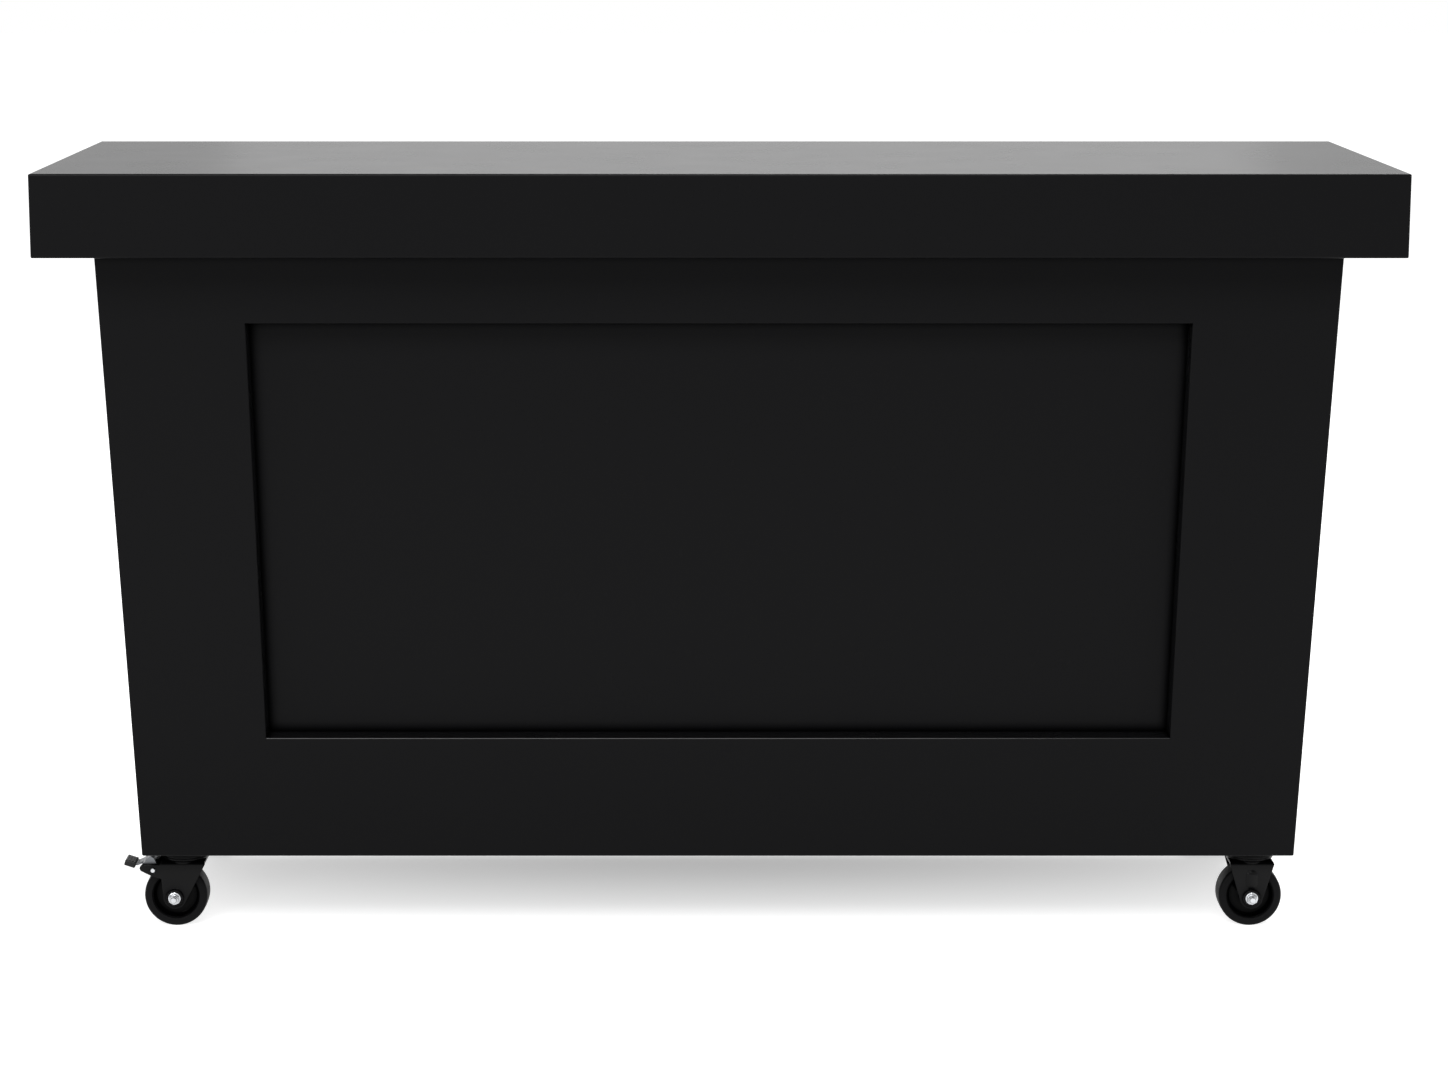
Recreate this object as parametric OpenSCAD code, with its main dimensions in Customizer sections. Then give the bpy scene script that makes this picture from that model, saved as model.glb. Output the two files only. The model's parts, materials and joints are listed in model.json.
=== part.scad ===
// Mobile bar counter: a box-section top on a body whose ends lean in towards the floor,
// with an inset front panel, open shelves at the back, and four casters.
// Origin on the floor under the middle of the top. X runs along the counter, front is -Y.

/* [Top] */
// Length of the top
slab_l = 1830; // [1500:10:2400]
// Depth of the top, front to back
slab_d = 610; // [520:10:760]
// Height of the top's edge
slab_h = 112; // [80:1:160]
// Board of the top and its aprons
slab_board = 18; // [12:1:25]
// Board of the soffit under the top
soffit_board = 12; // [9:1:18]
// Radius of the top's arrises
slab_arris = 3; // [1:0.5:5]
// Cross ribs inside the top
rib_count = 5; // [2:1:8]
// Thickness of a cross rib
rib_t = 18; // [12:1:25]

/* [Body] */
// Height of the counter
counter_h = 1070; // [950:5:1150]
// Overhang of the top at each end
end_overhang = 72; // [20:1:150]
// How far each end of the body leans in, from the top down to its foot
lean_in = 42.5; // [0:0.5:80]
// Overhang of the top at the front
front_overhang = 73; // [40:1:110]
// Overhang of the top at the back
rear_overhang = 30; // [0:1:60]
// Depth of the front frame, which is how far the infill panel is set back
frame_d = 40; // [25:1:60]
// Distance from the end of the body, under the top, to the front opening
opening_margin = 202.5; // [150:0.5:300]
// How far each side of the front opening leans in, from its head down to its sill
opening_lean = 16.5; // [0:0.5:40]
// Height of the top rail that shows under the top
top_rail_h = 96; // [60:1:160]
// Height of the bottom rail
bottom_rail_h = 169; // [90:1:240]
// Radius of the arris round the front opening
opening_arris = 2; // [1:0.5:4]
// Radius of the body's outer front arris
body_arris = 3; // [1:0.5:5]
// Radius of the body's lower corners
foot_corner = 4; // [2:0.5:8]
// Board of the end panels and the divider
end_board = 18; // [15:1:25]
// Board of the infill panel
infill_board = 12; // [9:1:18]
// Board of the base deck
deck_board = 25; // [18:1:30]

/* [Inside] */
// Depth of a top stretcher
stretcher_d = 80; // [60:1:120]
// Board of a top stretcher
stretcher_board = 18; // [15:1:25]
// Clear height from the deck to a shelf
shelf_clear = 377; // [250:1:480]
// Board of a shelf
shelf_board = 18; // [15:1:25]
// Gap at each end of a shelf
shelf_gap = 2; // [1:0.5:4]
// Setback of a shelf from the back of the body
shelf_setback = 15; // [5:1:40]
// Diameter of a shelf pin
shelf_pin_d = 5; // [4:0.5:7]
// Length of a shelf pin
shelf_pin_l = 17; // [14:0.5:17]
// Distance of a column of pin holes from the front or back of a shelf
pin_column = 60; // [40:1:100]
// Pitch of the pin holes
pin_pitch = 32; // [25:1:40]
// Pin holes above and below the one in use
pin_rows = 2; // [1:1:3]
// Shank diameter of a screw in a stretcher
screw_d = 5; // [4:0.5:6]
// Length of a screw in a stretcher, under its head
screw_l = 28; // [24:1:29]

/* [Casters] */
// Distance from the end of the body's foot to a caster's axis
caster_inset = 49.5; // [48:0.5:150]
// Distance from the body's front to the front casters' axis
caster_front = 78; // [60:1:120]
// Distance from the body's back to the rear casters' axis
caster_rear = 58; // [50:1:120]
// Height of a caster, floor to top of plate
caster_h = 118; // [116:1:130]
// Diameter of a wheel
wheel_d = 89; // [80:1:90]
// Width of a tyre
wheel_w = 38; // [24:1:40]
// Trail of a swivel caster
trail = 12; // [8:1:18]
// Length of a caster plate, along the counter
plate_l = 95; // [92:1:110]
// Width of a caster plate
plate_w = 67; // [63:1:80]
// Thickness of a caster plate
plate_t = 3; // [2.5:0.1:4]
// Bolt spacing along a plate
bolt_span_l = 74; // [72:1:78]
// Bolt spacing across a plate
bolt_span_w = 46; // [44:1:50]
// Shank diameter of a caster screw
bolt_d = 8; // [6:0.5:8]
// Deck board left above the point of a caster screw
point_cover = 4; // [3:0.5:8]

/* [Fork] */
// Steel of a fork
fork_t = 3; // [2:0.1:3.5]
// Gap between a fork leg and the tyre
tyre_gap = 8; // [2.8:0.1:10]
// Radius of the round end of a leg
leg_end_r = 16; // [13:0.5:18]
// Height of the underside of a fork's crown
crown_z = 93; // [93:0.5:96]
// Radius of the lowest ring of a crown
crown_r = 30; // [28:0.5:30.5]
// How far a leg is pressed out round the axle
boss_h = 4; // [2:0.5:5]
// Diameter of the axle bolt
axle_d = 8; // [6:0.5:8]
// Outer diameter of the sleeve on the axle
sleeve_d = 12; // [11:0.5:14]
// Diameter of the kingpin
kingpin_d = 12; // [10:0.5:14]
// Diameter of a bearing ball
ball_d = 5; // [4:0.5:5.5]
// Balls in a race
ball_count = 16; // [10:1:20]
// Radius of the ball race
race_r = 25; // [22:0.5:26]

/* [Brake] */
// Distance of the brake pivot from the tread
pivot_lift = 5.2; // [5:0.1:7]
// Angle of the brake pivot about the axle, from level
pivot_angle = 127; // [120:1:128]
// Travel of the pedal, in degrees
brake_travel = 18; // [10:1:20]
// Steel of the brake lever
lever_t = 1.8; // [1.4:0.1:1.9]
// Diameter of the brake rivet
rivet_d = 6; // [5:0.5:6]
// Width of the pedal
pedal_w = 30; // [24:1:34]

/* [Hidden] */
$fn = 64;

// Running fit on a radius, seat of a fixed pin, how far a cutter runs past a face, and how
// far a tangent line or arc is let into the shape that it meets
running_fit = 0.05;
seat_fit = 0.02;
past = 1;
bite = 0.001;

// Body: heights, faces and lean
body_z0 = caster_h;
body_z1 = counter_h - slab_h;
front_y = front_overhang - slab_d / 2;
rear_y = slab_d / 2 - rear_overhang;
frame_back = front_y + frame_d;
inside_y = frame_back + infill_board;
deck_top = body_z0 + deck_board;
body_l_top = slab_l - 2 * end_overhang;
body_l_foot = body_l_top - 2 * lean_in;
opening_l_top = body_l_top - 2 * opening_margin;
opening_l_sill = opening_l_top - 2 * opening_lean;
sill_z = body_z0 + bottom_rail_h;
head_z = body_z1 - top_rail_h;
end_slope = (body_l_top - body_l_foot) / 2 / (body_z1 - body_z0);
lean = atan(end_slope);
opening_slope = (opening_l_top - opening_l_sill) / 2 / (head_z - sill_z);
end_inset = end_board / cos(lean);

// Half length of the body, its inside and its front opening at a height
function body_x(z) = body_l_foot / 2 + (z - body_z0) * end_slope;
function inside_x(z) = body_x(z) - end_inset;
function opening_x(z) = opening_l_sill / 2 + (z - sill_z) * opening_slope;

// Inside of the top
inner_l = slab_l - 2 * slab_board;
inner_d = slab_d - 2 * slab_board;

// Shelves and their pins, with the heights of the rows of pin holes
shelf_z = deck_top + shelf_clear;
pin_z = shelf_z - shelf_pin_d / 2;
pin_heights = [for (row = [-pin_rows:pin_rows]) pin_z + row * pin_pitch];
pin_depth = 8;
pin_end_play = 1;
shelf_front = inside_y + shelf_gap;
shelf_back = rear_y - shelf_setback;
pin_columns = [shelf_front + pin_column, shelf_back - pin_column];

// Stretchers and their screws, two in each, which run up through the soffit
stretcher_z = body_z1 - stretcher_board;
screw_x = [for (part = [0.25, 0.75]) part * inside_x(stretcher_z)];
screw_y = [inside_y + stretcher_d / 2, rear_y - stretcher_d / 2];
screw_head_r = screw_d;
screw_head_edge = 1;
screw_head_h = 2.5;
screw_hole_play = 0.2;
screw_end_play = 0.3;

// Casters: places, axle and heights, with each caster's own origin under its plate
caster_x = body_l_foot / 2 - caster_inset;
front_caster_y = front_y + caster_front;
rear_caster_y = rear_y - caster_rear;
left_axes = [[-caster_x, front_caster_y], [-caster_x, rear_caster_y]];
right_axes = [[caster_x, front_caster_y], [caster_x, rear_caster_y]];
wheel_r = wheel_d / 2;
plate_z = caster_h - plate_t;
plate_corner = 6;
slot_play = 0.25;
slot_r = bolt_d / 2 + slot_play;
slot_run = 4;
head_h = 5.3;
hex_r = 7.5;
point_h = 5;
point_r = 1;
deck_screw_l = plate_t + deck_board - point_cover;

// Fork: legs, web under the crown, and the rings of the crown above it
leg_in = wheel_w / 2 + tyre_gap;
leg_out = leg_in + fork_t;
boss_r = 13;
boss_draft = 1.5;
boss_in = leg_in + boss_h;
boss_out = leg_out + boss_h;
web_top = crown_z + fork_t;
bend_r = 5;
swivel_axle = [-trail, wheel_r];
fixed_axle = [0, wheel_r];
corner_r = 3;
lead_x = 28;
heel_x = -29;
fixed_x = 28;
ring_h = 4;
ring_gap = 0.6;
low_ring_rise = 0.2;
low_ring_z = crown_z + low_ring_rise;
low_ring_edge = 1.8;
mid_ring_edge = 1.2;
cap_edge = 1.5;
mid_ring_z = low_ring_z + ring_h + ring_gap;
cap_z = mid_ring_z + ring_h;
ring_step = 3;
mid_ring_r = crown_r + ring_step;
cap_step = 2;
cap_r = mid_ring_r + cap_step;
cap_wall = 4;
fixed_crown_r = cap_r + 1;
kingpin_r = kingpin_d / 2;
pin_head_out = 4;
pin_head_edge = 1;
kingpin_head_r = kingpin_r + pin_head_out;
kingpin_head_h = 2.7;
kingpin_play = 0.3;
ball_r = ball_d / 2;
race_lift = 0.7;
race_z = (cap_z + plate_z) / 2 + race_lift;
race_gap = 1;
race_wall = 0.5;
cap_gap = 3;
cap_top = plate_z - cap_gap;

// Ribs pressed out of the legs of a fixed fork, and the ears of a swivel fork
rib_low = 65;
rib_high = 76;
rib_proud = 2.5;
rib_curve = 15.5;
ear_r = 8.4;
ear_nose = [-13.5, 3];
ear_nose_r = 5;
ear_root = [9, -4];
ear_root_r = 11;

// Axle: sleeve, bolt head and flanged nut
axle_r = axle_d / 2;
axle_play = 0.1;
axle_chamfer = 0.8;
thread_out = 1;
sleeve_r = sleeve_d / 2;
hub_play = 0.5;
nut_disc_r = 8.8;
nut_disc_t = 1.6;
nut_disc_edge = 0.6;
nut_hex_h = 5.5;
nut_collar_h = 2;
nut_collar_step = 1.6;
nut_collar_r = hex_r - nut_collar_step;
nut_h = nut_disc_t + nut_hex_h + nut_collar_h;

// Wheel: rim, its tongue in the tyre, and the dish between rim and hub
tyre_t = 11.5;
rim_r = wheel_r - tyre_t;
rim_inset = 2;
rim_w = wheel_w - 2 * rim_inset;
tongue_h = 2.5;
tongue_r = rim_r + tongue_h;
tongue_w = 10;
hub_wall = 6.5;
hub_r = sleeve_r + hub_wall;
bore_r = sleeve_r + running_fit;
web_half = 4.5;
dish_low_r = 5;
dish_high_r = 4.5;
dish_rim_wall = 1.5;
tyre_shoulder = 5;

// Brake: pivot, cam, cheeks and pedal, in the caster's own X and Z
pivot = swivel_axle + (wheel_r + pivot_lift) * [cos(pivot_angle), sin(pivot_angle)];
cam_gap = 0.4;
cam_wall = 1.4;
cam_wall_r = rivet_d / 2 + cam_wall;
cam_tip_r = 1.5;
cam_reach = pivot_lift - cam_gap - cam_tip_r;
cheek_gap = 0.4;
cheek_out = leg_in - cheek_gap;
cheek_in = cheek_out - lever_t;
lever_r = 7.5;
lever_end = pivot + [-11, 6];
lever_end_r = 5;
lever_heel = pivot + [-3.5, 12.5];
lever_heel_r = 6;
lever_bridge = 1.4 * lever_t;
tongue_start = lever_end + [0, 3.4];
tongue_bend = pivot + [-24, 3.6];
tongue_end = pivot + [-39, 6.5];
tongue_side = 3;
pedal_mid = pivot + [-34.3, 5.1];
pedal_tilt = 18;
pedal_l = 16;
pedal_h = 9;
pedal_corner = 2.5;
groove_pitch = 4;
groove_r = 1.2;
groove_lift = 0.5;
tongue_half_w = pedal_w / 2 - tongue_side;
tongue_half_t = 1.2;
rivet_head_out = 0.8;
rivet_head_r = rivet_d / 2 + rivet_head_out;
rivet_head_h = 2;
rivet_head_edge = 1;

// Flat shapes

// Rectangle with round corners, about its middle
module round_rect(w, h, r) {
    square([w - 2 * r, h], center = true);
    square([w, h - 2 * r], center = true);
    for (x = [-1, 1], y = [-1, 1])
        translate([x * (w / 2 - r), y * (h / 2 - r)]) circle(r);
}

// Two circles joined by their outer tangents
module link(p, pr, q, qr) {
    run = q - p;
    along = atan2(run[1], run[0]);
    swing = acos((pr - qr) / norm(run));
    left = [cos(along + swing), sin(along + swing)];
    right = [cos(along - swing), sin(along - swing)];
    translate(p) circle(pr);
    translate(q) circle(qr);
    polygon([p + (pr - bite) * left, p + (pr - bite) * right,
        q + (qr - bite) * right, q + (qr - bite) * left]);
}

// Half section of a ring about the Z axis, with its outer corners rounded
module ring_section(r_in, r_out, z0, z1, edge) {
    translate([r_in, z0]) square([r_out - edge - r_in, z1 - z0]);
    translate([r_in, z0 + edge]) square([r_out - r_in, z1 - z0 - 2 * edge]);
    for (z = [z0 + edge, z1 - edge]) translate([r_out - edge, z]) circle(edge);
}

// Placing

// A flat shape drawn in X and Z, run along Y
module along_y(y0, y1) {
    translate([0, y1, 0]) rotate([90, 0, 0]) linear_extrude(y1 - y0) children();
}

// A flat shape drawn in Y and Z, run along X
module along_x(x0, x1) {
    translate([x0, 0, 0]) rotate([90, 0, 90]) linear_extrude(x1 - x0) children();
}

module on_both_ends() {
    children();
    mirror([1, 0, 0]) children();
}

module at_axes(axes) {
    for (a = axes) translate([a[0], a[1], 0]) children();
}

module at_plate_bolts() {
    for (x = [-1, 1], y = [-1, 1])
        translate([x * bolt_span_l / 2, y * bolt_span_w / 2, 0]) children();
}

// A solid of revolution drawn about Z, turned so that its axis lies along Y at an axle
module at_axle(axle) {
    translate([axle[0], 0, axle[1]]) rotate([90, 0, 0]) children();
}

// Cutter that rounds the front arris from p to q, with the board on the right of the run
module arris_run(p, q, r, over) {
    run = q - p;
    translate([p[0], front_y, p[1]]) rotate([0, atan2(run[0], run[1]), 0])
        translate([0, 0, -over]) linear_extrude(norm(run) + 2 * over) difference() {
            translate([-past, -past]) square(r + past);
            translate([r, r]) circle(r);
        }
}

// Top

module slab_form() {
    mid_z = counter_h - slab_h / 2;
    intersection() {
        translate([0, 0, counter_h - slab_h]) linear_extrude(slab_h)
            round_rect(slab_l, slab_d, slab_arris);
        along_y(-slab_d / 2, slab_d / 2)
            translate([0, mid_z]) round_rect(slab_l, slab_h, slab_arris);
        along_x(-slab_l / 2, slab_l / 2)
            translate([0, mid_z]) round_rect(slab_d, slab_h, slab_arris);
    }
}

// Section of a board of the top, mitred on its four edges, across a length
module mitred_section(len) {
    polygon([[-len / 2, counter_h], [len / 2, counter_h],
        [len / 2 - slab_board, counter_h - slab_board],
        [slab_board - len / 2, counter_h - slab_board]]);
}

module top_panel() {
    color([0.11, 0.11, 0.12]) intersection() {
        slab_form();
        along_y(-slab_d / 2, slab_d / 2) mitred_section(slab_l);
        along_x(-slab_l / 2, slab_l / 2) mitred_section(slab_d);
    }
}

// An apron along the low side of a rectangle len by dep, mitred at both ends and on top
module apron(len, dep) {
    intersection() {
        along_x(-len / 2, len / 2) polygon([[-dep / 2, body_z1],
            [slab_board - dep / 2, body_z1],
            [slab_board - dep / 2, counter_h - slab_board], [-dep / 2, counter_h]]);
        translate([0, 0, body_z1]) linear_extrude(slab_h) polygon([[-len / 2, -dep / 2],
            [len / 2, -dep / 2], [len / 2 - slab_board, slab_board - dep / 2],
            [slab_board - len / 2, slab_board - dep / 2]]);
    }
}

module front_apron() {
    color([0.1, 0.1, 0.11]) intersection() {
        slab_form();
        apron(slab_l, slab_d);
    }
}

module rear_apron() {
    color([0.1, 0.1, 0.11]) intersection() {
        slab_form();
        rotate(180) apron(slab_l, slab_d);
    }
}

module left_apron() {
    color([0.1, 0.1, 0.11]) intersection() {
        slab_form();
        rotate(-90) apron(slab_d, slab_l);
    }
}

module right_apron() {
    color([0.1, 0.1, 0.11]) intersection() {
        slab_form();
        rotate(90) apron(slab_d, slab_l);
    }
}

module top_ribs() {
    rib_z = body_z1 + soffit_board;
    color([0.72, 0.6, 0.42]) for (i = [1:rib_count])
        translate([i * inner_l / (rib_count + 1) - inner_l / 2 - rib_t / 2,
            -inner_d / 2, rib_z])
            cube([rib_t, inner_d, counter_h - slab_board - rib_z]);
}

module at_screws() {
    for (x = screw_x, y = screw_y, side = [-1, 1]) translate([side * x, y, 0]) children();
}

module soffit_panel() {
    color([0.09, 0.09, 0.1]) difference() {
        translate([-inner_l / 2, -inner_d / 2, body_z1]) cube([inner_l, inner_d, soffit_board]);
        at_screws() translate([0, 0, stretcher_z])
            cylinder(r = screw_d / 2 + seat_fit, h = screw_l + screw_end_play);
    }
}

// Front frame and body

// Quarter of the lower corner of the body that the rounding takes away, in X and Z
module foot_corner_cut() {
    foot = [body_x(body_z0), body_z0];
    back = foot_corner / tan((90 + lean) / 2);
    mid = foot + [-back, foot_corner];
    level = foot - [back, 0];
    up = foot + back * [sin(lean), cos(lean)];
    difference() {
        polygon([mid, level, level - [0, past], foot + [past, -past], up + [past, 0], up]);
        translate(mid) circle(foot_corner + bite);
    }
}

module outer_arrises() {
    foot = [body_x(body_z0), body_z0];
    top = [body_x(body_z1), body_z1];
    other = [-foot[0], foot[1]];
    arris_run(top, foot, body_arris, past);
    arris_run(foot, other, body_arris, past);
    arris_run(other, [-top[0], top[1]], body_arris, past);
}

module right_stile() {
    color([0.1, 0.1, 0.11]) difference() {
        along_y(front_y, frame_back) difference() {
            polygon([[opening_x(body_z0), body_z0], [body_x(body_z0), body_z0],
                [body_x(body_z1), body_z1], [opening_x(body_z1), body_z1]]);
            foot_corner_cut();
        }
        outer_arrises();
        arris_run([opening_x(sill_z), sill_z], [opening_x(head_z), head_z], opening_arris, 0);
    }
}

module left_stile() {
    mirror([1, 0, 0]) right_stile();
}

// A board of the front frame between the stiles, from one height to another
module rail_board(z0, z1) {
    along_y(front_y, frame_back) polygon([[-opening_x(z0), z0], [opening_x(z0), z0],
        [opening_x(z1), z1], [-opening_x(z1), z1]]);
}

module top_rail() {
    corner = [opening_x(head_z), head_z];
    color([0.1, 0.1, 0.11]) difference() {
        rail_board(head_z, body_z1);
        arris_run(corner, [-corner[0], corner[1]], opening_arris, past);
    }
}

module bottom_rail() {
    corner = [opening_x(sill_z), sill_z];
    color([0.1, 0.1, 0.11]) difference() {
        rail_board(body_z0, sill_z);
        arris_run([-corner[0], corner[1]], corner, opening_arris, past);
        outer_arrises();
    }
}

module infill_panel() {
    color([0.12, 0.12, 0.13]) along_y(frame_back, inside_y)
        polygon([[-inside_x(deck_top), deck_top], [inside_x(deck_top), deck_top],
            [inside_x(body_z1), body_z1], [-inside_x(body_z1), body_z1]]);
}

// An end panel stands on the deck, whose end carries on its outer face
module right_end_panel() {
    color([0.1, 0.1, 0.11]) difference() {
        along_y(frame_back, rear_y)
            polygon([[inside_x(deck_top), deck_top], [body_x(deck_top), deck_top],
                [body_x(body_z1), body_z1], [inside_x(body_z1), body_z1]]);
        for (y = pin_columns, z = pin_heights)
            translate([inside_x(z) - past, y, z]) rotate([0, 90, 0])
                cylinder(d = shelf_pin_d + 2 * seat_fit, h = past + pin_depth + pin_end_play);
    }
}

module left_end_panel() {
    mirror([1, 0, 0]) right_end_panel();
}

module base_deck() {
    color([0.1, 0.1, 0.11]) difference() {
        along_y(frame_back, rear_y) difference() {
            polygon([[-body_x(body_z0), body_z0], [body_x(body_z0), body_z0],
                [body_x(deck_top), deck_top], [-body_x(deck_top), deck_top]]);
            on_both_ends() foot_corner_cut();
        }
        at_axes(concat(left_axes, right_axes)) at_plate_bolts()
            translate([0, 0, body_z0 - past])
                cylinder(r = bolt_d / 2 + seat_fit, h = past + deck_board - point_cover + seat_fit);
    }
}

module centre_divider() {
    color([0.1, 0.1, 0.11]) difference() {
        translate([-end_board / 2, inside_y, deck_top])
            cube([end_board, rear_y - inside_y, body_z1 - deck_top]);
        for (y = pin_columns, z = pin_heights)
            translate([-end_board, y, z]) rotate([0, 90, 0])
                cylinder(d = shelf_pin_d + 2 * seat_fit, h = 2 * end_board);
    }
}

module right_shelf() {
    x0 = end_board / 2 + shelf_gap;
    x1 = inside_x(shelf_z) - shelf_gap;
    color([0.1, 0.1, 0.11]) translate([x0, shelf_front, shelf_z])
        cube([x1 - x0, shelf_back - shelf_front, shelf_board]);
}

module left_shelf() {
    mirror([1, 0, 0]) right_shelf();
}

// Pins lie level, in the divider and in the end panels, with the shelf on top of them
module shelf_pins() {
    starts = [end_board / 2 - pin_depth, inside_x(pin_z) + pin_depth - shelf_pin_l];
    color([0.75, 0.75, 0.77]) on_both_ends()
        for (x = starts, y = pin_columns)
            translate([x, y, pin_z]) rotate([0, 90, 0])
                cylinder(d = shelf_pin_d, h = shelf_pin_l);
}

module top_stretchers() {
    z0 = stretcher_z;
    z1 = body_z1;
    color([0.1, 0.1, 0.11]) difference() {
        on_both_ends() for (y = [inside_y, rear_y - stretcher_d])
            along_y(y, y + stretcher_d) polygon([[end_board / 2, z0], [inside_x(z0), z0],
                [inside_x(z1), z1], [end_board / 2, z1]]);
        at_screws() translate([0, 0, z0 - past])
            cylinder(r = screw_d / 2 + screw_hole_play, h = stretcher_board + 2 * past);
    }
}

module top_screws() {
    color([0.75, 0.75, 0.77]) at_screws() translate([0, 0, stretcher_z]) {
        translate([0, 0, -screw_head_h])
            cylinder(r1 = screw_head_r - screw_head_edge, r2 = screw_head_r, h = screw_head_h);
        cylinder(d = screw_d, h = screw_l);
    }
}

// Caster fixings

// Hexagon screws that go up through the slots of a plate into the deck
module caster_screws() {
    color([0.75, 0.75, 0.77]) at_axes(concat(left_axes, right_axes)) at_plate_bolts()
        translate([0, 0, plate_z]) {
            translate([0, 0, -head_h]) cylinder(r = hex_r, h = head_h, $fn = 6);
            cylinder(d = bolt_d, h = deck_screw_l - point_h);
            translate([0, 0, deck_screw_l - point_h])
                cylinder(r1 = bolt_d / 2, r2 = point_r, h = point_h);
        }
}

// Plate with four slots and a countersunk hole for the kingpin or the middle rivet
module plate() {
    difference() {
        translate([0, 0, plate_z]) linear_extrude(plate_t) difference() {
            round_rect(plate_l, plate_w, plate_corner);
            at_plate_bolts() link([-slot_run / 2, 0], slot_r, [slot_run / 2, 0], slot_r);
        }
        translate([0, 0, plate_z - past]) cylinder(r = kingpin_r + seat_fit, h = plate_t + 2 * past);
        translate([0, 0, plate_z]) cylinder(r1 = kingpin_r + seat_fit,
            r2 = kingpin_r + seat_fit + plate_t, h = plate_t);
    }
}

module fixed_plate() {
    color([0.13, 0.13, 0.14]) plate();
}

// The swivel plate carries the upper track of the ball race on a pressed boss
module swivel_plate() {
    color([0.13, 0.13, 0.14]) {
        plate();
        rotate_extrude() difference() {
            ring_section(kingpin_r + seat_fit, crown_r + race_wall, race_z + race_gap, plate_z,
                race_wall);
            translate([race_r, race_z]) circle(ball_r + running_fit);
        }
    }
}

module kingpins() {
    color([0.7, 0.7, 0.72]) at_axes(left_axes) {
        low = crown_z - kingpin_play;
        rotate_extrude() ring_section(0, kingpin_head_r, low - kingpin_head_h, low,
            pin_head_edge);
        translate([0, 0, low - past]) cylinder(r = kingpin_r, h = plate_z - low + past);
        translate([0, 0, plate_z])
            cylinder(r1 = kingpin_r, r2 = kingpin_r + plate_t, h = plate_t);
    }
}

// Forks

// Section of the bent sheet, as two legs and the web over them, in Y and Z
module bent_section() {
    difference() {
        union() {
            translate([-leg_out, 0]) square([2 * leg_out, web_top - bend_r]);
            translate([bend_r - leg_out, 0]) square([2 * (leg_out - bend_r), web_top]);
            for (side = [-1, 1]) translate([side * (leg_out - bend_r), web_top - bend_r])
                circle(bend_r);
        }
        inner_r = bend_r - fork_t;
        translate([-leg_in, -past]) square([2 * leg_in, crown_z - inner_r + past]);
        translate([inner_r - leg_in, 0]) square([2 * (leg_in - inner_r), crown_z]);
        for (side = [-1, 1]) translate([side * (leg_in - inner_r), crown_z - inner_r])
            circle(inner_r);
    }
}

// Outline of a leg from its round end at the axle up to two corners under the crown
module leg_outline(axle, heel, lead) {
    corner_z = web_top - corner_r;
    link(axle, leg_end_r, [heel, corner_z], corner_r);
    link(axle, leg_end_r, [lead, corner_z], corner_r);
    polygon([axle, [lead, web_top], [heel, web_top]]);
}

module bent_legs(axle, heel, lead) {
    intersection() {
        along_x(heel - corner_r - past, lead + corner_r + past) bent_section();
        along_y(-leg_out, leg_out) leg_outline(axle, heel, lead);
    }
}

// Lower rings of the crown, from the kingpin hole out
module crown_rings(hole_r) {
    ring_section(hole_r, crown_r, low_ring_z, low_ring_z + ring_h, low_ring_edge);
    ring_section(hole_r, mid_ring_r, mid_ring_z, mid_ring_z + ring_h, mid_ring_edge);
    translate([hole_r, crown_z]) square([crown_r - fork_t - hole_r, cap_z - crown_z]);
}

// Round the axle, each leg is pressed out into a boss that the nut or the bolt head meets
module leg_bosses(axle) {
    for (side = [0, 1]) at_axle(axle) mirror([0, 0, side]) translate([0, 0, leg_out - bite])
        cylinder(r1 = boss_r, r2 = boss_r - boss_draft, h = boss_h + bite);
}

// Hollow of the bosses on the inside, and the hole for the axle bolt
module axle_cuts(axle) {
    inner_r = boss_r - fork_t;
    for (side = [0, 1]) at_axle(axle) mirror([0, 0, side]) translate([0, 0, leg_in])
        cylinder(r1 = inner_r, r2 = inner_r - boss_draft, h = boss_h);
    at_axle(axle) cylinder(r = axle_r + axle_play, h = 3 * boss_out, center = true);
}

// Ears of the swivel fork that hold the brake rivet beyond the tyre
module brake_ears() {
    for (side = [-1, 1]) translate([0, side * (leg_in + fork_t / 2), 0])
        along_y(-fork_t / 2, fork_t / 2) {
            link(pivot, ear_r, pivot + ear_nose, ear_nose_r);
            link(pivot, ear_r, [heel_x, pivot[1]] + ear_root, ear_root_r);
        }
}

module swivel_fork() {
    hole_r = kingpin_r + running_fit;
    color([0.12, 0.12, 0.13]) difference() {
        union() {
            bent_legs(swivel_axle, heel_x, lead_x);
            leg_bosses(swivel_axle);
            brake_ears();
            rotate_extrude() difference() {
                union() {
                    crown_rings(hole_r);
                    translate([hole_r, mid_ring_z])
                        square([cap_r - cap_wall - race_wall - hole_r,
                            race_z - race_gap - mid_ring_z]);
                }
                translate([race_r, race_z]) circle(ball_r + running_fit);
            }
        }
        translate([0, 0, crown_z - past]) cylinder(r = hole_r, h = caster_h);
        axle_cuts(swivel_axle);
        at_axle(pivot) cylinder(d = rivet_d + 2 * seat_fit, h = 3 * leg_out, center = true);
    }
}

module race_cap() {
    color([0.15, 0.15, 0.16]) rotate_extrude()
        ring_section(cap_r - cap_wall, cap_r, cap_z, cap_top, cap_edge);
}

module bearing_balls() {
    color([0.8, 0.8, 0.82]) for (i = [0:ball_count - 1]) rotate(i * 360 / ball_count)
        translate([race_r, 0, race_z]) sphere(ball_r);
}

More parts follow.
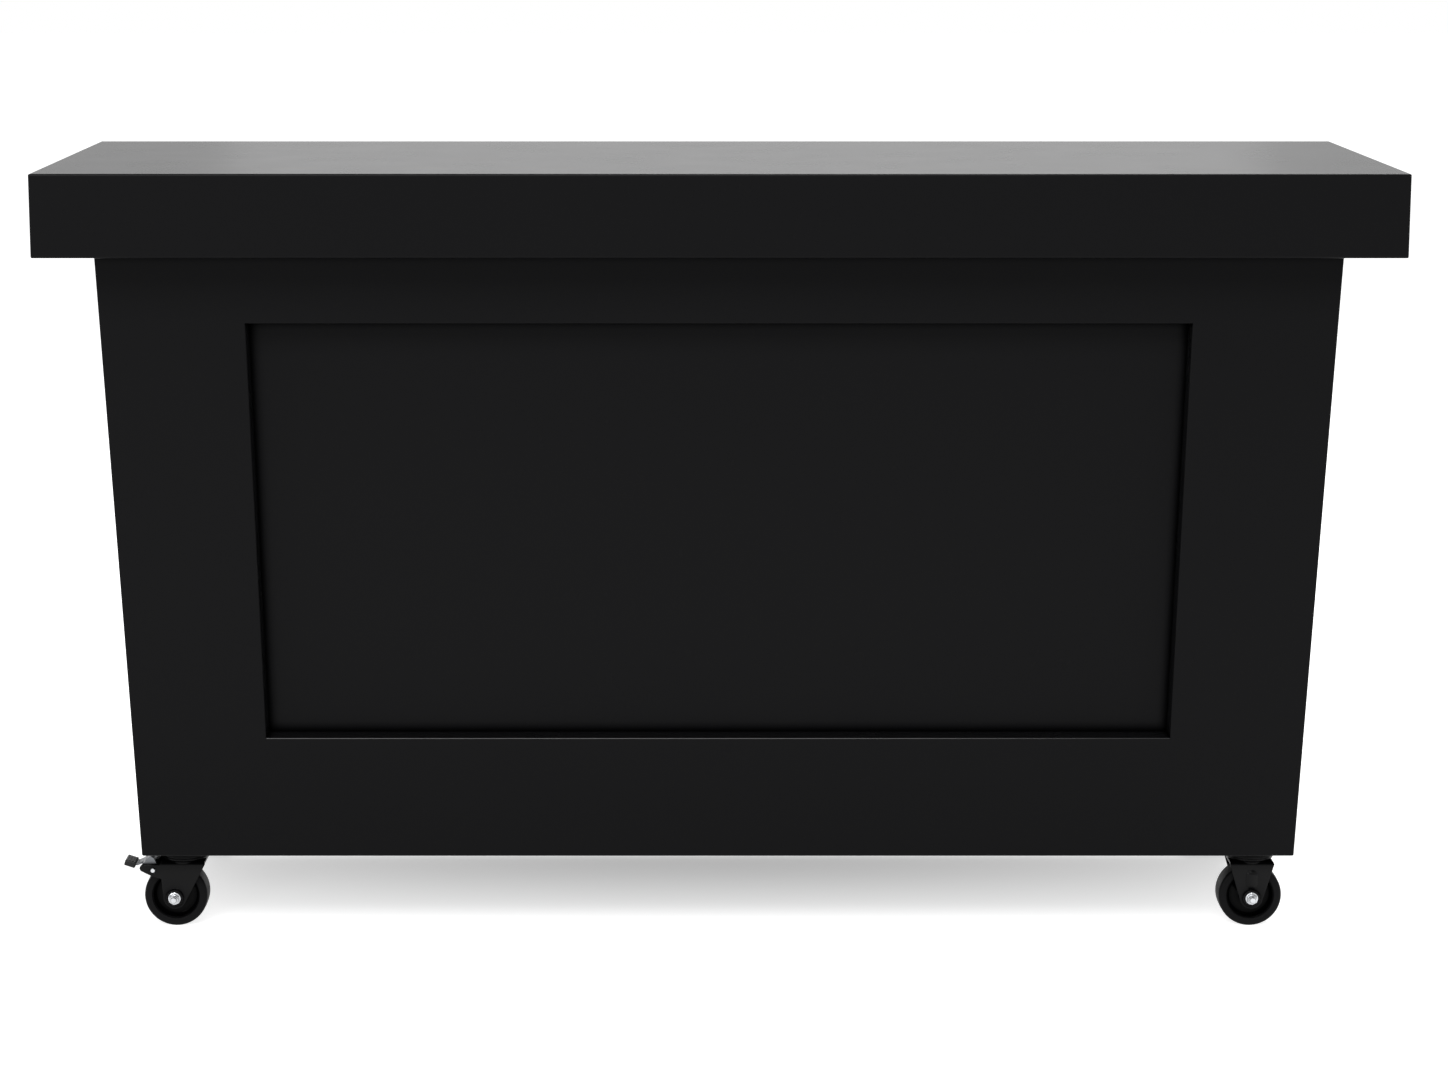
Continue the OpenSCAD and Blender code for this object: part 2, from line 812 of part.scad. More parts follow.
// Pressed rib down the outside of each leg of a fixed fork, with rounded ends
module leg_ribs() {
    for (side = [0, 1]) mirror([0, side, 0]) intersection() {
        translate([-rib_curve, leg_out - fork_t / 2, 0])
            cube([2 * rib_curve, fork_t + rib_proud, caster_h]);
        translate([0, leg_out + rib_proud - rib_curve, 0]) union() {
            translate([0, 0, rib_low]) cylinder(r = rib_curve, h = rib_high - rib_low);
            for (z = [rib_low, rib_high]) translate([0, 0, z]) sphere(rib_curve);
        }
    }
}

module fixed_fork() {
    hole_r = kingpin_r + seat_fit;
    color([0.12, 0.12, 0.13]) difference() {
        union() {
            bent_legs(fixed_axle, -fixed_x, fixed_x);
            leg_bosses(fixed_axle);
            leg_ribs();
            rotate_extrude() {
                crown_rings(hole_r);
                ring_section(hole_r, fixed_crown_r, cap_z, plate_z, cap_edge);
            }
        }
        translate([0, 0, crown_z - past]) cylinder(r = hole_r, h = caster_h);
        axle_cuts(fixed_axle);
    }
}

// Rivet that holds a fixed fork to its plate
module fixed_fork_rivets() {
    color([0.7, 0.7, 0.72]) at_axes(right_axes) {
        rotate_extrude() ring_section(0, kingpin_head_r, crown_z - kingpin_head_h, crown_z,
            pin_head_edge);
        translate([0, 0, crown_z - past]) cylinder(r = kingpin_r, h = plate_z - crown_z + past);
        translate([0, 0, plate_z])
            cylinder(r1 = kingpin_r, r2 = kingpin_r + plate_t, h = plate_t);
    }
}

// Axle parts

module axle_bolt(axle) {
    color([0.75, 0.75, 0.77]) at_axle(axle) {
        translate([0, 0, -boss_out - head_h]) cylinder(r = hex_r, h = head_h, $fn = 6);
        translate([0, 0, -boss_out])
            cylinder(r = axle_r, h = 2 * boss_out + nut_h + thread_out);
        translate([0, 0, boss_out + nut_h + thread_out])
            cylinder(r1 = axle_r, r2 = axle_r - axle_chamfer, h = axle_chamfer);
    }
}

module axle_nut(axle) {
    color([0.78, 0.78, 0.8]) at_axle(axle) difference() {
        translate([0, 0, boss_out]) {
            cylinder(r1 = nut_disc_r, r2 = nut_disc_r - nut_disc_edge, h = nut_disc_t);
            cylinder(r = hex_r, h = nut_disc_t + nut_hex_h, $fn = 6);
            cylinder(r = nut_collar_r, h = nut_h);
        }
        cylinder(r = axle_r + seat_fit, h = 3 * boss_out);
    }
}

module axle_sleeve(axle) {
    color([0.7, 0.7, 0.72]) at_axle(axle) difference() {
        cylinder(r = sleeve_r, h = 2 * boss_in, center = true);
        cylinder(r = axle_r + axle_play, h = 3 * boss_in, center = true);
    }
}

// Half of the section of the dish that one side of a wheel has between hub and rim
module dish_section() {
    high = rim_r - dish_rim_wall;
    link([hub_r + dish_low_r, web_half + dish_low_r], dish_low_r,
        [high - dish_high_r, web_half + dish_high_r], dish_high_r);
    translate([hub_r, web_half + dish_low_r]) square([high - hub_r, wheel_w]);
}

module wheel(axle) {
    color([0.08, 0.08, 0.09]) at_axle(axle) rotate_extrude() difference() {
        union() {
            translate([bore_r, hub_play - leg_in])
                square([hub_r - bore_r, 2 * (leg_in - hub_play)]);
            translate([bore_r, -rim_w / 2]) square([rim_r - bore_r, rim_w]);
            translate([bore_r, -tongue_w / 2]) square([tongue_r - bore_r, tongue_w]);
        }
        dish_section();
        mirror([0, 1]) dish_section();
    }
}

module tyre(axle) {
    color([0.16, 0.16, 0.17]) at_axle(axle) rotate_extrude() difference() {
        ring_section(rim_r, wheel_r, -wheel_w / 2, wheel_w / 2, tyre_shoulder);
        translate([0, -tongue_w / 2]) square([tongue_r, tongue_w]);
    }
}

// Brake

// Turns a shape drawn with the pedal down up to where the free pedal rests
module lifted() {
    translate([pivot[0], 0, pivot[1]]) rotate([0, brake_travel, 0])
        translate([-pivot[0], 0, -pivot[1]]) children();
}

module lever_outline() {
    link(pivot, lever_r, lever_end, lever_end_r);
    link(pivot, lever_r, lever_heel, lever_heel_r);
}

// Tongue of the lever, bent on its way into the pedal, and grown all round by a fit
module bent_tongue(fit) {
    half_t = tongue_half_t + fit;
    along_y(-tongue_half_w - fit, tongue_half_w + fit) {
        link(tongue_start, half_t, tongue_bend, half_t);
        link(tongue_bend, half_t, tongue_end, half_t);
    }
}

module brake_lever() {
    to_axle = (swivel_axle - pivot) / norm(swivel_axle - pivot);
    color([0.6, 0.6, 0.62]) difference() {
        union() {
            for (side = [-1, 1]) translate([0, side * (cheek_in + lever_t / 2), 0])
                along_y(-lever_t / 2, lever_t / 2) lever_outline();
            along_y(-cheek_in - lever_t / 2, cheek_in + lever_t / 2) difference() {
                lever_outline();
                translate([0, -lever_bridge]) lever_outline();
            }
            bent_tongue(0);
            lifted() along_y(-cheek_out, cheek_out)
                link(pivot, cam_wall_r, pivot + cam_reach * to_axle, cam_tip_r);
        }
        at_axle(pivot) cylinder(r = rivet_d / 2 + running_fit, h = 3 * leg_out, center = true);
    }
}

// Moulded pedal over the lever's tongue, with three grooves across its tread
module brake_pedal() {
    color([0.17, 0.17, 0.18]) difference() {
        translate([pedal_mid[0], 0, pedal_mid[1]]) rotate([0, pedal_tilt, 0])
            intersection() {
                along_y(-pedal_w / 2, pedal_w / 2) difference() {
                    round_rect(pedal_l, pedal_h, pedal_corner);
                    for (x = [-groove_pitch, 0, groove_pitch])
                        translate([x, pedal_h / 2 + groove_lift]) circle(groove_r);
                }
                along_x(-pedal_l, pedal_l) round_rect(pedal_w, pedal_h, pedal_corner);
                translate([0, 0, -pedal_h]) linear_extrude(2 * pedal_h)
                    round_rect(pedal_l, pedal_w, pedal_corner);
            }
        bent_tongue(seat_fit);
    }
}

module brake_rivet() {
    color([0.78, 0.78, 0.8]) at_axle(pivot) {
        cylinder(d = rivet_d, h = 2 * leg_out, center = true);
        for (side = [0, 1]) mirror([0, 0, side]) translate([0, 0, leg_out])
            cylinder(r1 = rivet_head_r, r2 = rivet_head_r - rivet_head_edge, h = rivet_head_h);
    }
}

// Parts on show

module at_front_left() {
    translate([-caster_x, front_caster_y, 0]) children();
}

module at_rear_left() {
    translate([-caster_x, rear_caster_y, 0]) children();
}

module at_front_right() {
    translate([caster_x, front_caster_y, 0]) children();
}

module at_rear_right() {
    translate([caster_x, rear_caster_y, 0]) children();
}

top_panel();
front_apron();
rear_apron();
left_apron();
right_apron();
top_ribs();
soffit_panel();
left_stile();
right_stile();
top_rail();
bottom_rail();
infill_panel();
left_end_panel();
right_end_panel();
base_deck();
centre_divider();
left_shelf();
right_shelf();
shelf_pins();
top_stretchers();
top_screws();
caster_screws();
kingpins();
at_front_right() fixed_plate();  // front_fixed_plate
at_rear_right() fixed_plate();  // rear_fixed_plate
at_front_right() fixed_fork();  // front_fixed_fork
at_rear_right() fixed_fork();  // rear_fixed_fork
fixed_fork_rivets();
at_axes(right_axes) axle_bolt(fixed_axle);  // fixed_axle_bolts
at_axes(right_axes) axle_nut(fixed_axle);  // fixed_axle_nuts
at_axes(right_axes) axle_sleeve(fixed_axle);  // fixed_axle_sleeves
at_front_right() wheel(fixed_axle);  // front_fixed_wheel
at_front_right() tyre(fixed_axle);  // front_fixed_tyre
at_rear_right() wheel(fixed_axle);  // rear_fixed_wheel
at_rear_right() tyre(fixed_axle);  // rear_fixed_tyre
at_front_left() swivel_plate();  // front_swivel_plate
at_front_left() bearing_balls();  // front_bearing_balls
at_front_left() race_cap();  // front_race_cap
at_front_left() swivel_fork();  // front_swivel_fork
at_front_left() axle_bolt(swivel_axle);  // front_axle_bolt
at_front_left() axle_nut(swivel_axle);  // front_axle_nut
at_front_left() axle_sleeve(swivel_axle);  // front_axle_sleeve
at_front_left() wheel(swivel_axle);  // front_swivel_wheel
at_front_left() tyre(swivel_axle);  // front_swivel_tyre
at_front_left() brake_lever();  // front_brake_lever
at_front_left() brake_pedal();  // front_brake_pedal
at_front_left() brake_rivet();  // front_brake_rivet
at_rear_left() swivel_plate();  // rear_swivel_plate
at_rear_left() bearing_balls();  // rear_bearing_balls
at_rear_left() race_cap();  // rear_race_cap
at_rear_left() swivel_fork();  // rear_swivel_fork
at_rear_left() axle_bolt(swivel_axle);  // rear_axle_bolt
at_rear_left() axle_nut(swivel_axle);  // rear_axle_nut
at_rear_left() axle_sleeve(swivel_axle);  // rear_axle_sleeve
at_rear_left() wheel(swivel_axle);  // rear_swivel_wheel
at_rear_left() tyre(swivel_axle);  // rear_swivel_tyre
at_rear_left() brake_lever();  // rear_brake_lever
at_rear_left() brake_pedal();  // rear_brake_pedal
at_rear_left() brake_rivet();  // rear_brake_rivet
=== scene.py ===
"""Mobile bar counter: finishes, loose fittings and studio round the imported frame."""

from collections import namedtuple
import json
import math

import bmesh
import bpy
from mathutils import Matrix, Vector


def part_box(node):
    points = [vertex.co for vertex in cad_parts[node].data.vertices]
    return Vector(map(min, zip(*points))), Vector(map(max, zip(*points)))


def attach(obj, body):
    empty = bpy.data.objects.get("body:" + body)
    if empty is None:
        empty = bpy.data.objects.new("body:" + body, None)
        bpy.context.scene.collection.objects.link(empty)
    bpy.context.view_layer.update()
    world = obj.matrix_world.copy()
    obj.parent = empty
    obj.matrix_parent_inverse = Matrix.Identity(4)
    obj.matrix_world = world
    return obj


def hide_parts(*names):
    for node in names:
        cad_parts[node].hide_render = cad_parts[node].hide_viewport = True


bl_info = {
    "name": "Bar counter",
    "version": (1, 0, 0),
    "blender": (4, 5, 0),
    "location": "3D View > Sidebar > Bar counter",
    "description": "Dresses a mobile bar counter and sets up its studio",
    "category": "Object",
}

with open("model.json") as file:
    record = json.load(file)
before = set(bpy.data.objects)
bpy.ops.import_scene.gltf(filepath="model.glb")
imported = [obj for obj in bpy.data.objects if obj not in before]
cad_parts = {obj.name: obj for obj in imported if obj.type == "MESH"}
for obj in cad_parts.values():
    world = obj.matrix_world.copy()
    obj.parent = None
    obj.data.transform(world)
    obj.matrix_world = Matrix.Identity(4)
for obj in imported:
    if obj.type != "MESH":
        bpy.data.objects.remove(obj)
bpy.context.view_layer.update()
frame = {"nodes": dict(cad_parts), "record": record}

MM = 0.001
# Faces that meet at less than this many degrees are shaded as one smooth surface
SMOOTH_BELOW = 32.0

# Points round a hole or a turned piece of each kind
HOLE_STEPS = 20
PIN_STEPS = 24
SCREW_STEPS = 36
NUT_STEPS = 48
WHEEL_STEPS = 96

# The shelf pin holes: their radius, where they lie from front to back, and how high
PinHoles = namedtuple("PinHoles", "radius depths heights")

# Half the side of the square floor, in metres
FLOOR_HALF = 30.0
# Width of the camera's sensor
SENSOR_MM = 36.0
WHITE = (1, 1, 1, 1)
# How bright the white surroundings are as a source of light, and as something seen
WHITE_AS_LIGHT = 0.5
WHITE_AS_SEEN = 1.0
# Place, width and height in metres, power in watts
Lamp = namedtuple("Lamp", "name place width height power")
LAMPS = (
    Lamp("front_softbox", (-0.8, -4.4, 4.4), 3.6, 2.4, 230.0),
    Lamp("left_softbox", (-3.2, -6.0, 1.8), 1.2, 1.2, 30.0),
    Lamp("back_softbox", (0.15, 6.0, 2.1), 3.2, 1.2, 4.5),
    Lamp("rear_softbox", (1.2, 3.2, 5.2), 3.0, 2.0, 300.0),
)
# The middle of the counter, which every lamp faces
LAMP_TARGET = Vector((0, 0, 0.5))


# Sizes and colours


class BarCounterFinish(bpy.types.PropertyGroup):
    """Colours and sheen of what shows most"""
    lacquer_colour: bpy.props.StringProperty(
        name="Lacquer", description="Colour of the satin lacquer, as sRGB hex",
        default="#0e0e0f")
    lacquer_roughness: bpy.props.FloatProperty(
        name="Lacquer roughness", description="How matt the lacquer is",
        default=0.27, min=0.0, max=1.0, subtype="FACTOR")
    steel_colour: bpy.props.StringProperty(
        name="Powder coat", description="Colour of the powder-coated steel, as sRGB hex",
        default="#080809")
    zinc_colour: bpy.props.StringProperty(
        name="Zinc", description="Colour of the bright zinc plate, as sRGB hex",
        default="#c4c6c9")
    wheel_colour: bpy.props.StringProperty(
        name="Wheel", description="Colour of the moulded wheel, as sRGB hex",
        default="#040405")
    rubber_colour: bpy.props.StringProperty(
        name="Tyre", description="Colour of the rubber tyre, as sRGB hex",
        default="#0c0c0d")


class BarCounterBoards(bpy.types.PropertyGroup):
    """Sizes of the boards that show from behind, and of their pin holes"""
    eased_edge: bpy.props.FloatProperty(
        name="Eased edge", description="Radius of a sanded board edge", default=0.8 * MM,
        min=0.2 * MM, max=3 * MM, precision=4, unit="LENGTH")
    foot_corner: bpy.props.FloatProperty(
        name="Foot corner", description="Radius of the lower corners of the body",
        default=4 * MM, precision=4, unit="LENGTH")
    hole_pitch: bpy.props.FloatProperty(
        name="Pin pitch", description="Distance between shelf pin holes", default=32 * MM,
        precision=4, unit="LENGTH")
    hole_depth: bpy.props.FloatProperty(
        name="Pin depth", description="Depth of a shelf pin hole", default=9 * MM,
        precision=4, unit="LENGTH")
    hole_rows: bpy.props.IntProperty(
        name="Spare holes", description="Pin holes above and below the one in use", default=2,
        min=0, max=4)


class BarCounterFittings(bpy.types.PropertyGroup):
    """Sizes of the bolts, nuts and screws"""
    axle_radius: bpy.props.FloatProperty(
        name="Axle radius", description="Radius of an axle bolt", default=4 * MM, precision=4,
        unit="LENGTH")
    bolt_head: bpy.props.FloatProperty(
        name="Bolt head", description="Height of an axle bolt's head", default=5.3 * MM,
        precision=4, unit="LENGTH")
    thread_pitch: bpy.props.FloatProperty(
        name="Thread pitch", description="Pitch of an axle bolt's thread", default=1.25 * MM,
        precision=5, unit="LENGTH")
    nut_half: bpy.props.FloatProperty(
        name="Nut half width", description="Half the width of a nut across its flats",
        default=6.5 * MM, precision=4, unit="LENGTH")
    nut_hex: bpy.props.FloatProperty(
        name="Nut height", description="Height of a nut's hexagon", default=5.5 * MM,
        precision=4, unit="LENGTH")
    nut_flange: bpy.props.FloatProperty(
        name="Nut flange", description="Thickness of a nut's flange", default=1.6 * MM,
        precision=4, unit="LENGTH")
    socket_half: bpy.props.FloatProperty(
        name="Socket half width", description="Half the width of a screw's hexagon socket",
        default=1.5 * MM, precision=4, unit="LENGTH")
    plate_screw_shank: bpy.props.FloatProperty(
        name="Plate screw", description="Shank diameter of a caster plate's screw",
        default=8 * MM, precision=4, unit="LENGTH")


class BarCounterWheels(bpy.types.PropertyGroup):
    """Sizes of a wheel and its tyre"""
    bore_radius: bpy.props.FloatProperty(
        name="Bore", description="Radius of a wheel's bore", default=6.05 * MM, precision=5,
        unit="LENGTH")
    hub_radius: bpy.props.FloatProperty(
        name="Hub", description="Radius of a wheel's hub", default=12.5 * MM, precision=4,
        unit="LENGTH")
    rim_radius: bpy.props.FloatProperty(
        name="Rim", description="Radius of a wheel's rim, inside the tyre", default=33 * MM,
        precision=4, unit="LENGTH")
    rim_half: bpy.props.FloatProperty(
        name="Rim half width", description="Half the width of a wheel's rim", default=17 * MM,
        precision=4, unit="LENGTH")
    rim_wall: bpy.props.FloatProperty(
        name="Rim wall", description="Wall between the dish and the tyre", default=1.5 * MM,
        precision=4, unit="LENGTH")
    web_half: bpy.props.FloatProperty(
        name="Web half", description="Half the thickness of a wheel's web", default=4.5 * MM,
        precision=4, unit="LENGTH")
    dish_low: bpy.props.FloatProperty(
        name="Hub curve", description="Radius of the dish where it meets the hub",
        default=5 * MM, precision=4, unit="LENGTH")
    dish_high: bpy.props.FloatProperty(
        name="Rim curve", description="Radius of the dish where it meets the rim",
        default=4.5 * MM, precision=4, unit="LENGTH")
    shoulder: bpy.props.FloatProperty(
        name="Shoulder", description="Radius of a tyre's shoulder", default=5 * MM,
        precision=4, unit="LENGTH")


class BarCounterStudio(bpy.types.PropertyGroup):
    """The camera, the floor, and the floor's glow: white away from the counter, weaker under it
    as a painted shadow
    """
    lens_mm: bpy.props.FloatProperty(
        name="Lens", description="Focal length on a 36 mm wide sensor, in millimetres",
        default=89.02, min=20.0, max=300.0)
    camera_place: bpy.props.FloatVectorProperty(
        name="Camera", description="Place of the camera", default=(-0.054, -5.046, 1.449),
        subtype="TRANSLATION", unit="LENGTH")
    camera_pitch: bpy.props.FloatProperty(
        name="Pitch", description="How far the camera looks down",
        default=math.radians(10.455), subtype="ANGLE", unit="ROTATION")
    camera_shift: bpy.props.FloatProperty(
        name="Shift", description="Sideways shift of the picture, as a share of its width",
        default=0.0311)
    floor_colour: bpy.props.StringProperty(
        name="Floor", description="Colour of the floor, as sRGB hex", default="#dadada")
    # The glow is weakest in a patch under the counter, longer than deep like the counter: a
    # painted shadow on top of the one that the lamps cast
    glow_in_painted_shadow: bpy.props.FloatProperty(
        name="Near glow", description="Share of white that the floor shows under the counter",
        default=0.38, min=0.0, max=1.0, subtype="FACTOR")
    far_glow: bpy.props.FloatProperty(
        name="Far glow", description="Share of white that the floor shows away from the counter",
        default=0.85, min=0.0, max=1.0, subtype="FACTOR")
    glow_start: bpy.props.FloatProperty(
        name="Glow start", description="Distance at which the floor begins to whiten",
        default=0.0, unit="LENGTH")
    glow_end: bpy.props.FloatProperty(
        name="Glow end", description="Distance at which the floor is whitest", default=0.45,
        unit="LENGTH")
    painted_shadow_middle: bpy.props.FloatProperty(
        name="Glow middle", description="Depth at which the floor is darkest", default=0.2,
        unit="LENGTH")
    painted_shadow_length: bpy.props.FloatProperty(
        name="Glow length", description="How much longer than deep the darker patch is",
        default=4.0, min=1.0)


# Making materials


# Painted shade in a corner is deepest from this share of open sky down
CORNER_OPENNESS = 0.5
# Rays that a shader casts to find a corner or to round an edge
SHADER_RAYS = 6
# Nearly all heights of a noise lie between these
LUMP_LOW, LUMP_HIGH = 0.3, 0.7


def linear(hex_colour):
    """An sRGB hex colour as linear red, green, blue and alpha."""
    def channel(text):
        c = int(text, 16) / 255
        return c / 12.92 if c <= 0.04045 else ((c + 0.055) / 1.055) ** 2.4
    return tuple(channel(hex_colour[i:i + 2]) for i in (1, 3, 5)) + (1.0,)


def add_node(tree, kind, settings=None, **links):
    """A node of this kind. A setting is an attribute or an input, and a link names an input."""
    node = tree.nodes.new(kind)
    for name, value in (settings or {}).items():
        if isinstance(name, int) or name in node.inputs:
            node.inputs[name].default_value = value
        else:
            setattr(node, name, value)
    for name, source in links.items():
        tree.links.new(source, node.inputs[name.replace("_", " ")])
    return node


def surface(name, settings):
    """A material with one Principled shader, and its node tree and shader."""
    material = bpy.data.materials.new(name)
    material.use_nodes = True
    tree = material.node_tree
    shader = tree.nodes["Principled BSDF"]
    for socket, value in settings.items():
        shader.inputs[socket].default_value = value
    return material, tree, shader


def lumps(tree, size_mm, detail=2.0):
    """A height that rises and falls over this many millimetres, in the object's own metres."""
    coordinates = add_node(tree, "ShaderNodeTexCoord")
    texture = add_node(tree, "ShaderNodeTexNoise",
                       {"Scale": 1 / (size_mm * MM), "Detail": detail},
                       Vector=coordinates.outputs["Object"])
    return texture.outputs["Fac"]


def vary(tree, height, socket, low, high):
    """Lets a socket follow the lumps, from low in their hollows to high on their crests."""
    span = add_node(tree, "ShaderNodeMapRange",
                    {"From Min": LUMP_LOW, "From Max": LUMP_HIGH,
                     "To Min": low, "To Max": high}, Value=height)
    tree.links.new(span.outputs["Result"], socket)


def mottle(tree, shader, height, hollow, crest):
    """Colours the lumps, from that of their hollows to that of their crests."""
    ramp = add_node(tree, "ShaderNodeValToRGB", None, Fac=height)
    ramp.color_ramp.elements[0].color = linear(hollow)
    ramp.color_ramp.elements[1].color = linear(crest)
    tree.links.new(ramp.outputs["Color"], shader.inputs["Base Color"])


def emboss(tree, shader, height, strength, depth_mm, edge_mm=0.0):
    """Raises the lumps by a depth, on a surface whose edges look rounded by a radius."""
    bump = add_node(tree, "ShaderNodeBump",
                    {"Strength": strength, "Distance": depth_mm * MM}, Height=height)
    if edge_mm:
        edges = add_node(tree, "ShaderNodeBevel",
                         {"samples": SHADER_RAYS, "Radius": edge_mm * MM})
        tree.links.new(edges.outputs["Normal"], bump.inputs["Normal"])
    tree.links.new(bump.outputs["Normal"], shader.inputs["Normal"])


def corner_shade(tree, reach_mm, darkest, lightest):
    """Painted shade: a value from darkest in an inside corner to lightest out in the open."""
    openness = add_node(tree, "ShaderNodeAmbientOcclusion",
                        {"samples": SHADER_RAYS, "Distance": reach_mm * MM})
    shade = add_node(tree, "ShaderNodeMapRange",
                     {"From Min": CORNER_OPENNESS, "From Max": 1.0,
                      "To Min": darkest, "To Max": lightest}, Value=openness.outputs["AO"])
    return shade.outputs["Result"]


def paint_corner_shade(tree, shader, reach_mm, shade_colour, open_colour):
    """Paints shade into a surface's inside corners: its colour fades there to a darker one."""
    mix = add_node(tree, "ShaderNodeMix", {"data_type": "RGBA", 6: linear(shade_colour),
                                          7: linear(open_colour)})
    tree.links.new(corner_shade(tree, reach_mm, 0.0, 1.0), mix.inputs[0])
    tree.links.new(mix.outputs[2], shader.inputs["Base Color"])


def sprayed_lacquer(finish):
    """Satin lacquer sprayed on fibreboard: deep black, with a soft sheen at a low angle."""
    material, tree, shader = surface("satin_lacquer_sprayed_on_fibreboard", {"IOR": 1.5})
    # Painted shade: the colour fades to black in an inside corner
    paint_corner_shade(tree, shader, reach_mm=8.0, shade_colour="#000000",
                   open_colour=finish.lacquer_colour)
    # Painted shade on the reflection: the sheen fades to nothing in an inside corner
    sheen = corner_shade(tree, reach_mm=15.0, darkest=0.0, lightest=0.05)
    tree.links.new(sheen, shader.inputs["Specular IOR Level"])
    haze = 0.006
    vary(tree, lumps(tree, 90.0, detail=4.0), shader.inputs["Roughness"],
         low=finish.lacquer_roughness - haze, high=finish.lacquer_roughness + haze)
    # Orange peel, lumps of 1.5 mm that a spray gun leaves
    emboss(tree, shader, lumps(tree, 1.5, detail=1.0), strength=0.12, depth_mm=0.05)
    return material


def arris_highlight_lacquer(finish):
    """A glossier copy of the same lacquer for an arris, a painted highlight: the edge catches
    more light than the lacquer gives it.
    """
    return surface("satin_lacquer_painted_highlight_at_the_arris", {
        "Base Color": linear(finish.lacquer_colour), "IOR": 1.5, "Specular IOR Level": 0.3,
        "Roughness": 0.2})[0]


def sawn_plywood(finish):
    """Birch plywood ribs, sawn and left bare: pale and unevenly tinted."""
    material, tree, shader = surface("birch_plywood_sawn", {"Roughness": 0.7, "IOR": 1.5})
    mottle(tree, shader, lumps(tree, 6.0, detail=5.0), hollow="#b1925f", crest="#cfb483")
    return material


def powder_coat(finish):
    """Black powder coat baked on pressed steel: an even sheen with a fine orange peel."""
    material, tree, shader = surface("powder_coat_baked_on_pressed_steel", {
        "Base Color": linear(finish.steel_colour), "Roughness": 0.18, "IOR": 1.5})
    # Painted shade: the sheen fades to nothing in a recess, so the race and the plate stay dark
    sheen = corner_shade(tree, reach_mm=40.0, darkest=0.0, lightest=0.12)
    tree.links.new(sheen, shader.inputs["Specular IOR Level"])
    emboss(tree, shader, lumps(tree, 0.9, detail=1.0), strength=0.1, depth_mm=0.05, edge_mm=2.5)
    return material


def zinc_plate(finish):
    """Bright zinc electroplated on steel: a cool silver with small cloudy patches."""
    material, tree, shader = surface("bright_zinc_electroplate", {"Metallic": 1.0})
    # Painted shade: the colour darkens in the steps of a nut or a head
    paint_corner_shade(tree, shader, reach_mm=1.5, shade_colour="#1c1c1d",
                   open_colour=finish.zinc_colour)
    vary(tree, lumps(tree, 4.0, detail=3.0), shader.inputs["Roughness"], low=0.2, high=0.36)
    return material


def stamped_steel(finish):
    """Zinc-plated steel as it comes from the stamping press: duller, with drag marks."""
    material, tree, shader = surface("zinc_plated_steel_stamped", {"Metallic": 1.0})
    # Painted shade: the colour darkens in an inside corner, so the lever goes dark beneath the
    # deck
    paint_corner_shade(tree, shader, reach_mm=8.0, shade_colour="#18181a", open_colour="#6c6e71")
    # Drag marks are finer than 0.1 mm, and are drawn at 0.8 mm so that they show
    vary(tree, lumps(tree, 0.8, detail=3.0), shader.inputs["Roughness"], low=0.3, high=0.45)
    return material


def ball_steel(finish):
    """Hardened chrome steel, lapped: small clear mirrors."""
    return surface("chrome_steel_lapped", {
        "Base Color": linear("#d4d6d9"), "Metallic": 1.0, "Roughness": 0.08})[0]


def moulded_wheel(finish):
    """Glossy black polypropylene, injection moulded, with painted shade that keeps the dish
    darker than the rim.
    """
    material, tree, shader = surface("polypropylene_moulded_gloss", {
        "Base Color": linear(finish.wheel_colour), "IOR": 1.49, "Roughness": 0.12})
    # Painted shade: the sheen fades to nothing in the dish behind the rim
    sheen = corner_shade(tree, reach_mm=10.0, darkest=0.0, lightest=0.05)
    tree.links.new(sheen, shader.inputs["Specular IOR Level"])
    # The melt leaves faint waves some 7 mm apart
    emboss(tree, shader, lumps(tree, 7.0), strength=0.08, depth_mm=0.2, edge_mm=1.5)
    return material


def tyre_rubber(finish):
    """Black rubber, moulded and lightly worn: a dull sheen that greys in patches."""
    material, tree, shader = surface(
        "rubber_moulded", {"IOR": 1.52, "Specular IOR Level": 0.06})
    wear = lumps(tree, 3.0, detail=4.0)
    mottle(tree, shader, wear, hollow=finish.rubber_colour, crest="#121213")
    vary(tree, wear, shader.inputs["Roughness"], low=0.42, high=0.56)
    emboss(tree, shader, wear, strength=0.1, depth_mm=0.1, edge_mm=1.5)
    return material


def moulded_pedal(finish):
    """Black nylon moulded in a spark-eroded tool: matt, with an even grain."""
    material, tree, shader = surface("nylon_moulded_spark_grain", {
        "Base Color": linear("#141415"), "IOR": 1.53, "Roughness": 0.4,
        "Specular IOR Level": 0.2})
    # Spark grain is finer than 0.1 mm, and is drawn at 0.5 mm so that it shows
    emboss(tree, shader, lumps(tree, 0.5, detail=1.0), strength=0.3, depth_mm=0.08)
    return material


# Name of the glossier lacquer copy that paints a highlight on an arris
ARRIS_HIGHLIGHT = "arris_painted_highlight"
FINISHES = {
    "black_lacquered_board": sprayed_lacquer,
    ARRIS_HIGHLIGHT: arris_highlight_lacquer,
    "bare_plywood": sawn_plywood,
    "black_steel": powder_coat,
    "zinc_plated_steel": zinc_plate,
    "lever_steel": stamped_steel,
    "ball_steel": ball_steel,
    "wheel_plastic": moulded_wheel,
    "tyre_rubber": tyre_rubber,
    "pedal_plastic": moulded_pedal,
}
made_materials = {}


def finish_of(name):
    """The material of a slot of the record, or of an arris with a painted highlight, made when
    first asked for.
    """
    if name not in made_materials:
        made_materials[name] = FINISHES[name](bpy.context.scene.bar_counter_finish)
    return made_materials[name]


def give_finish(obj, slot_name):
    """Gives an object one of the slot materials in place of what it has."""
    obj.data.materials.clear()
    obj.data.materials.append(finish_of(slot_name))


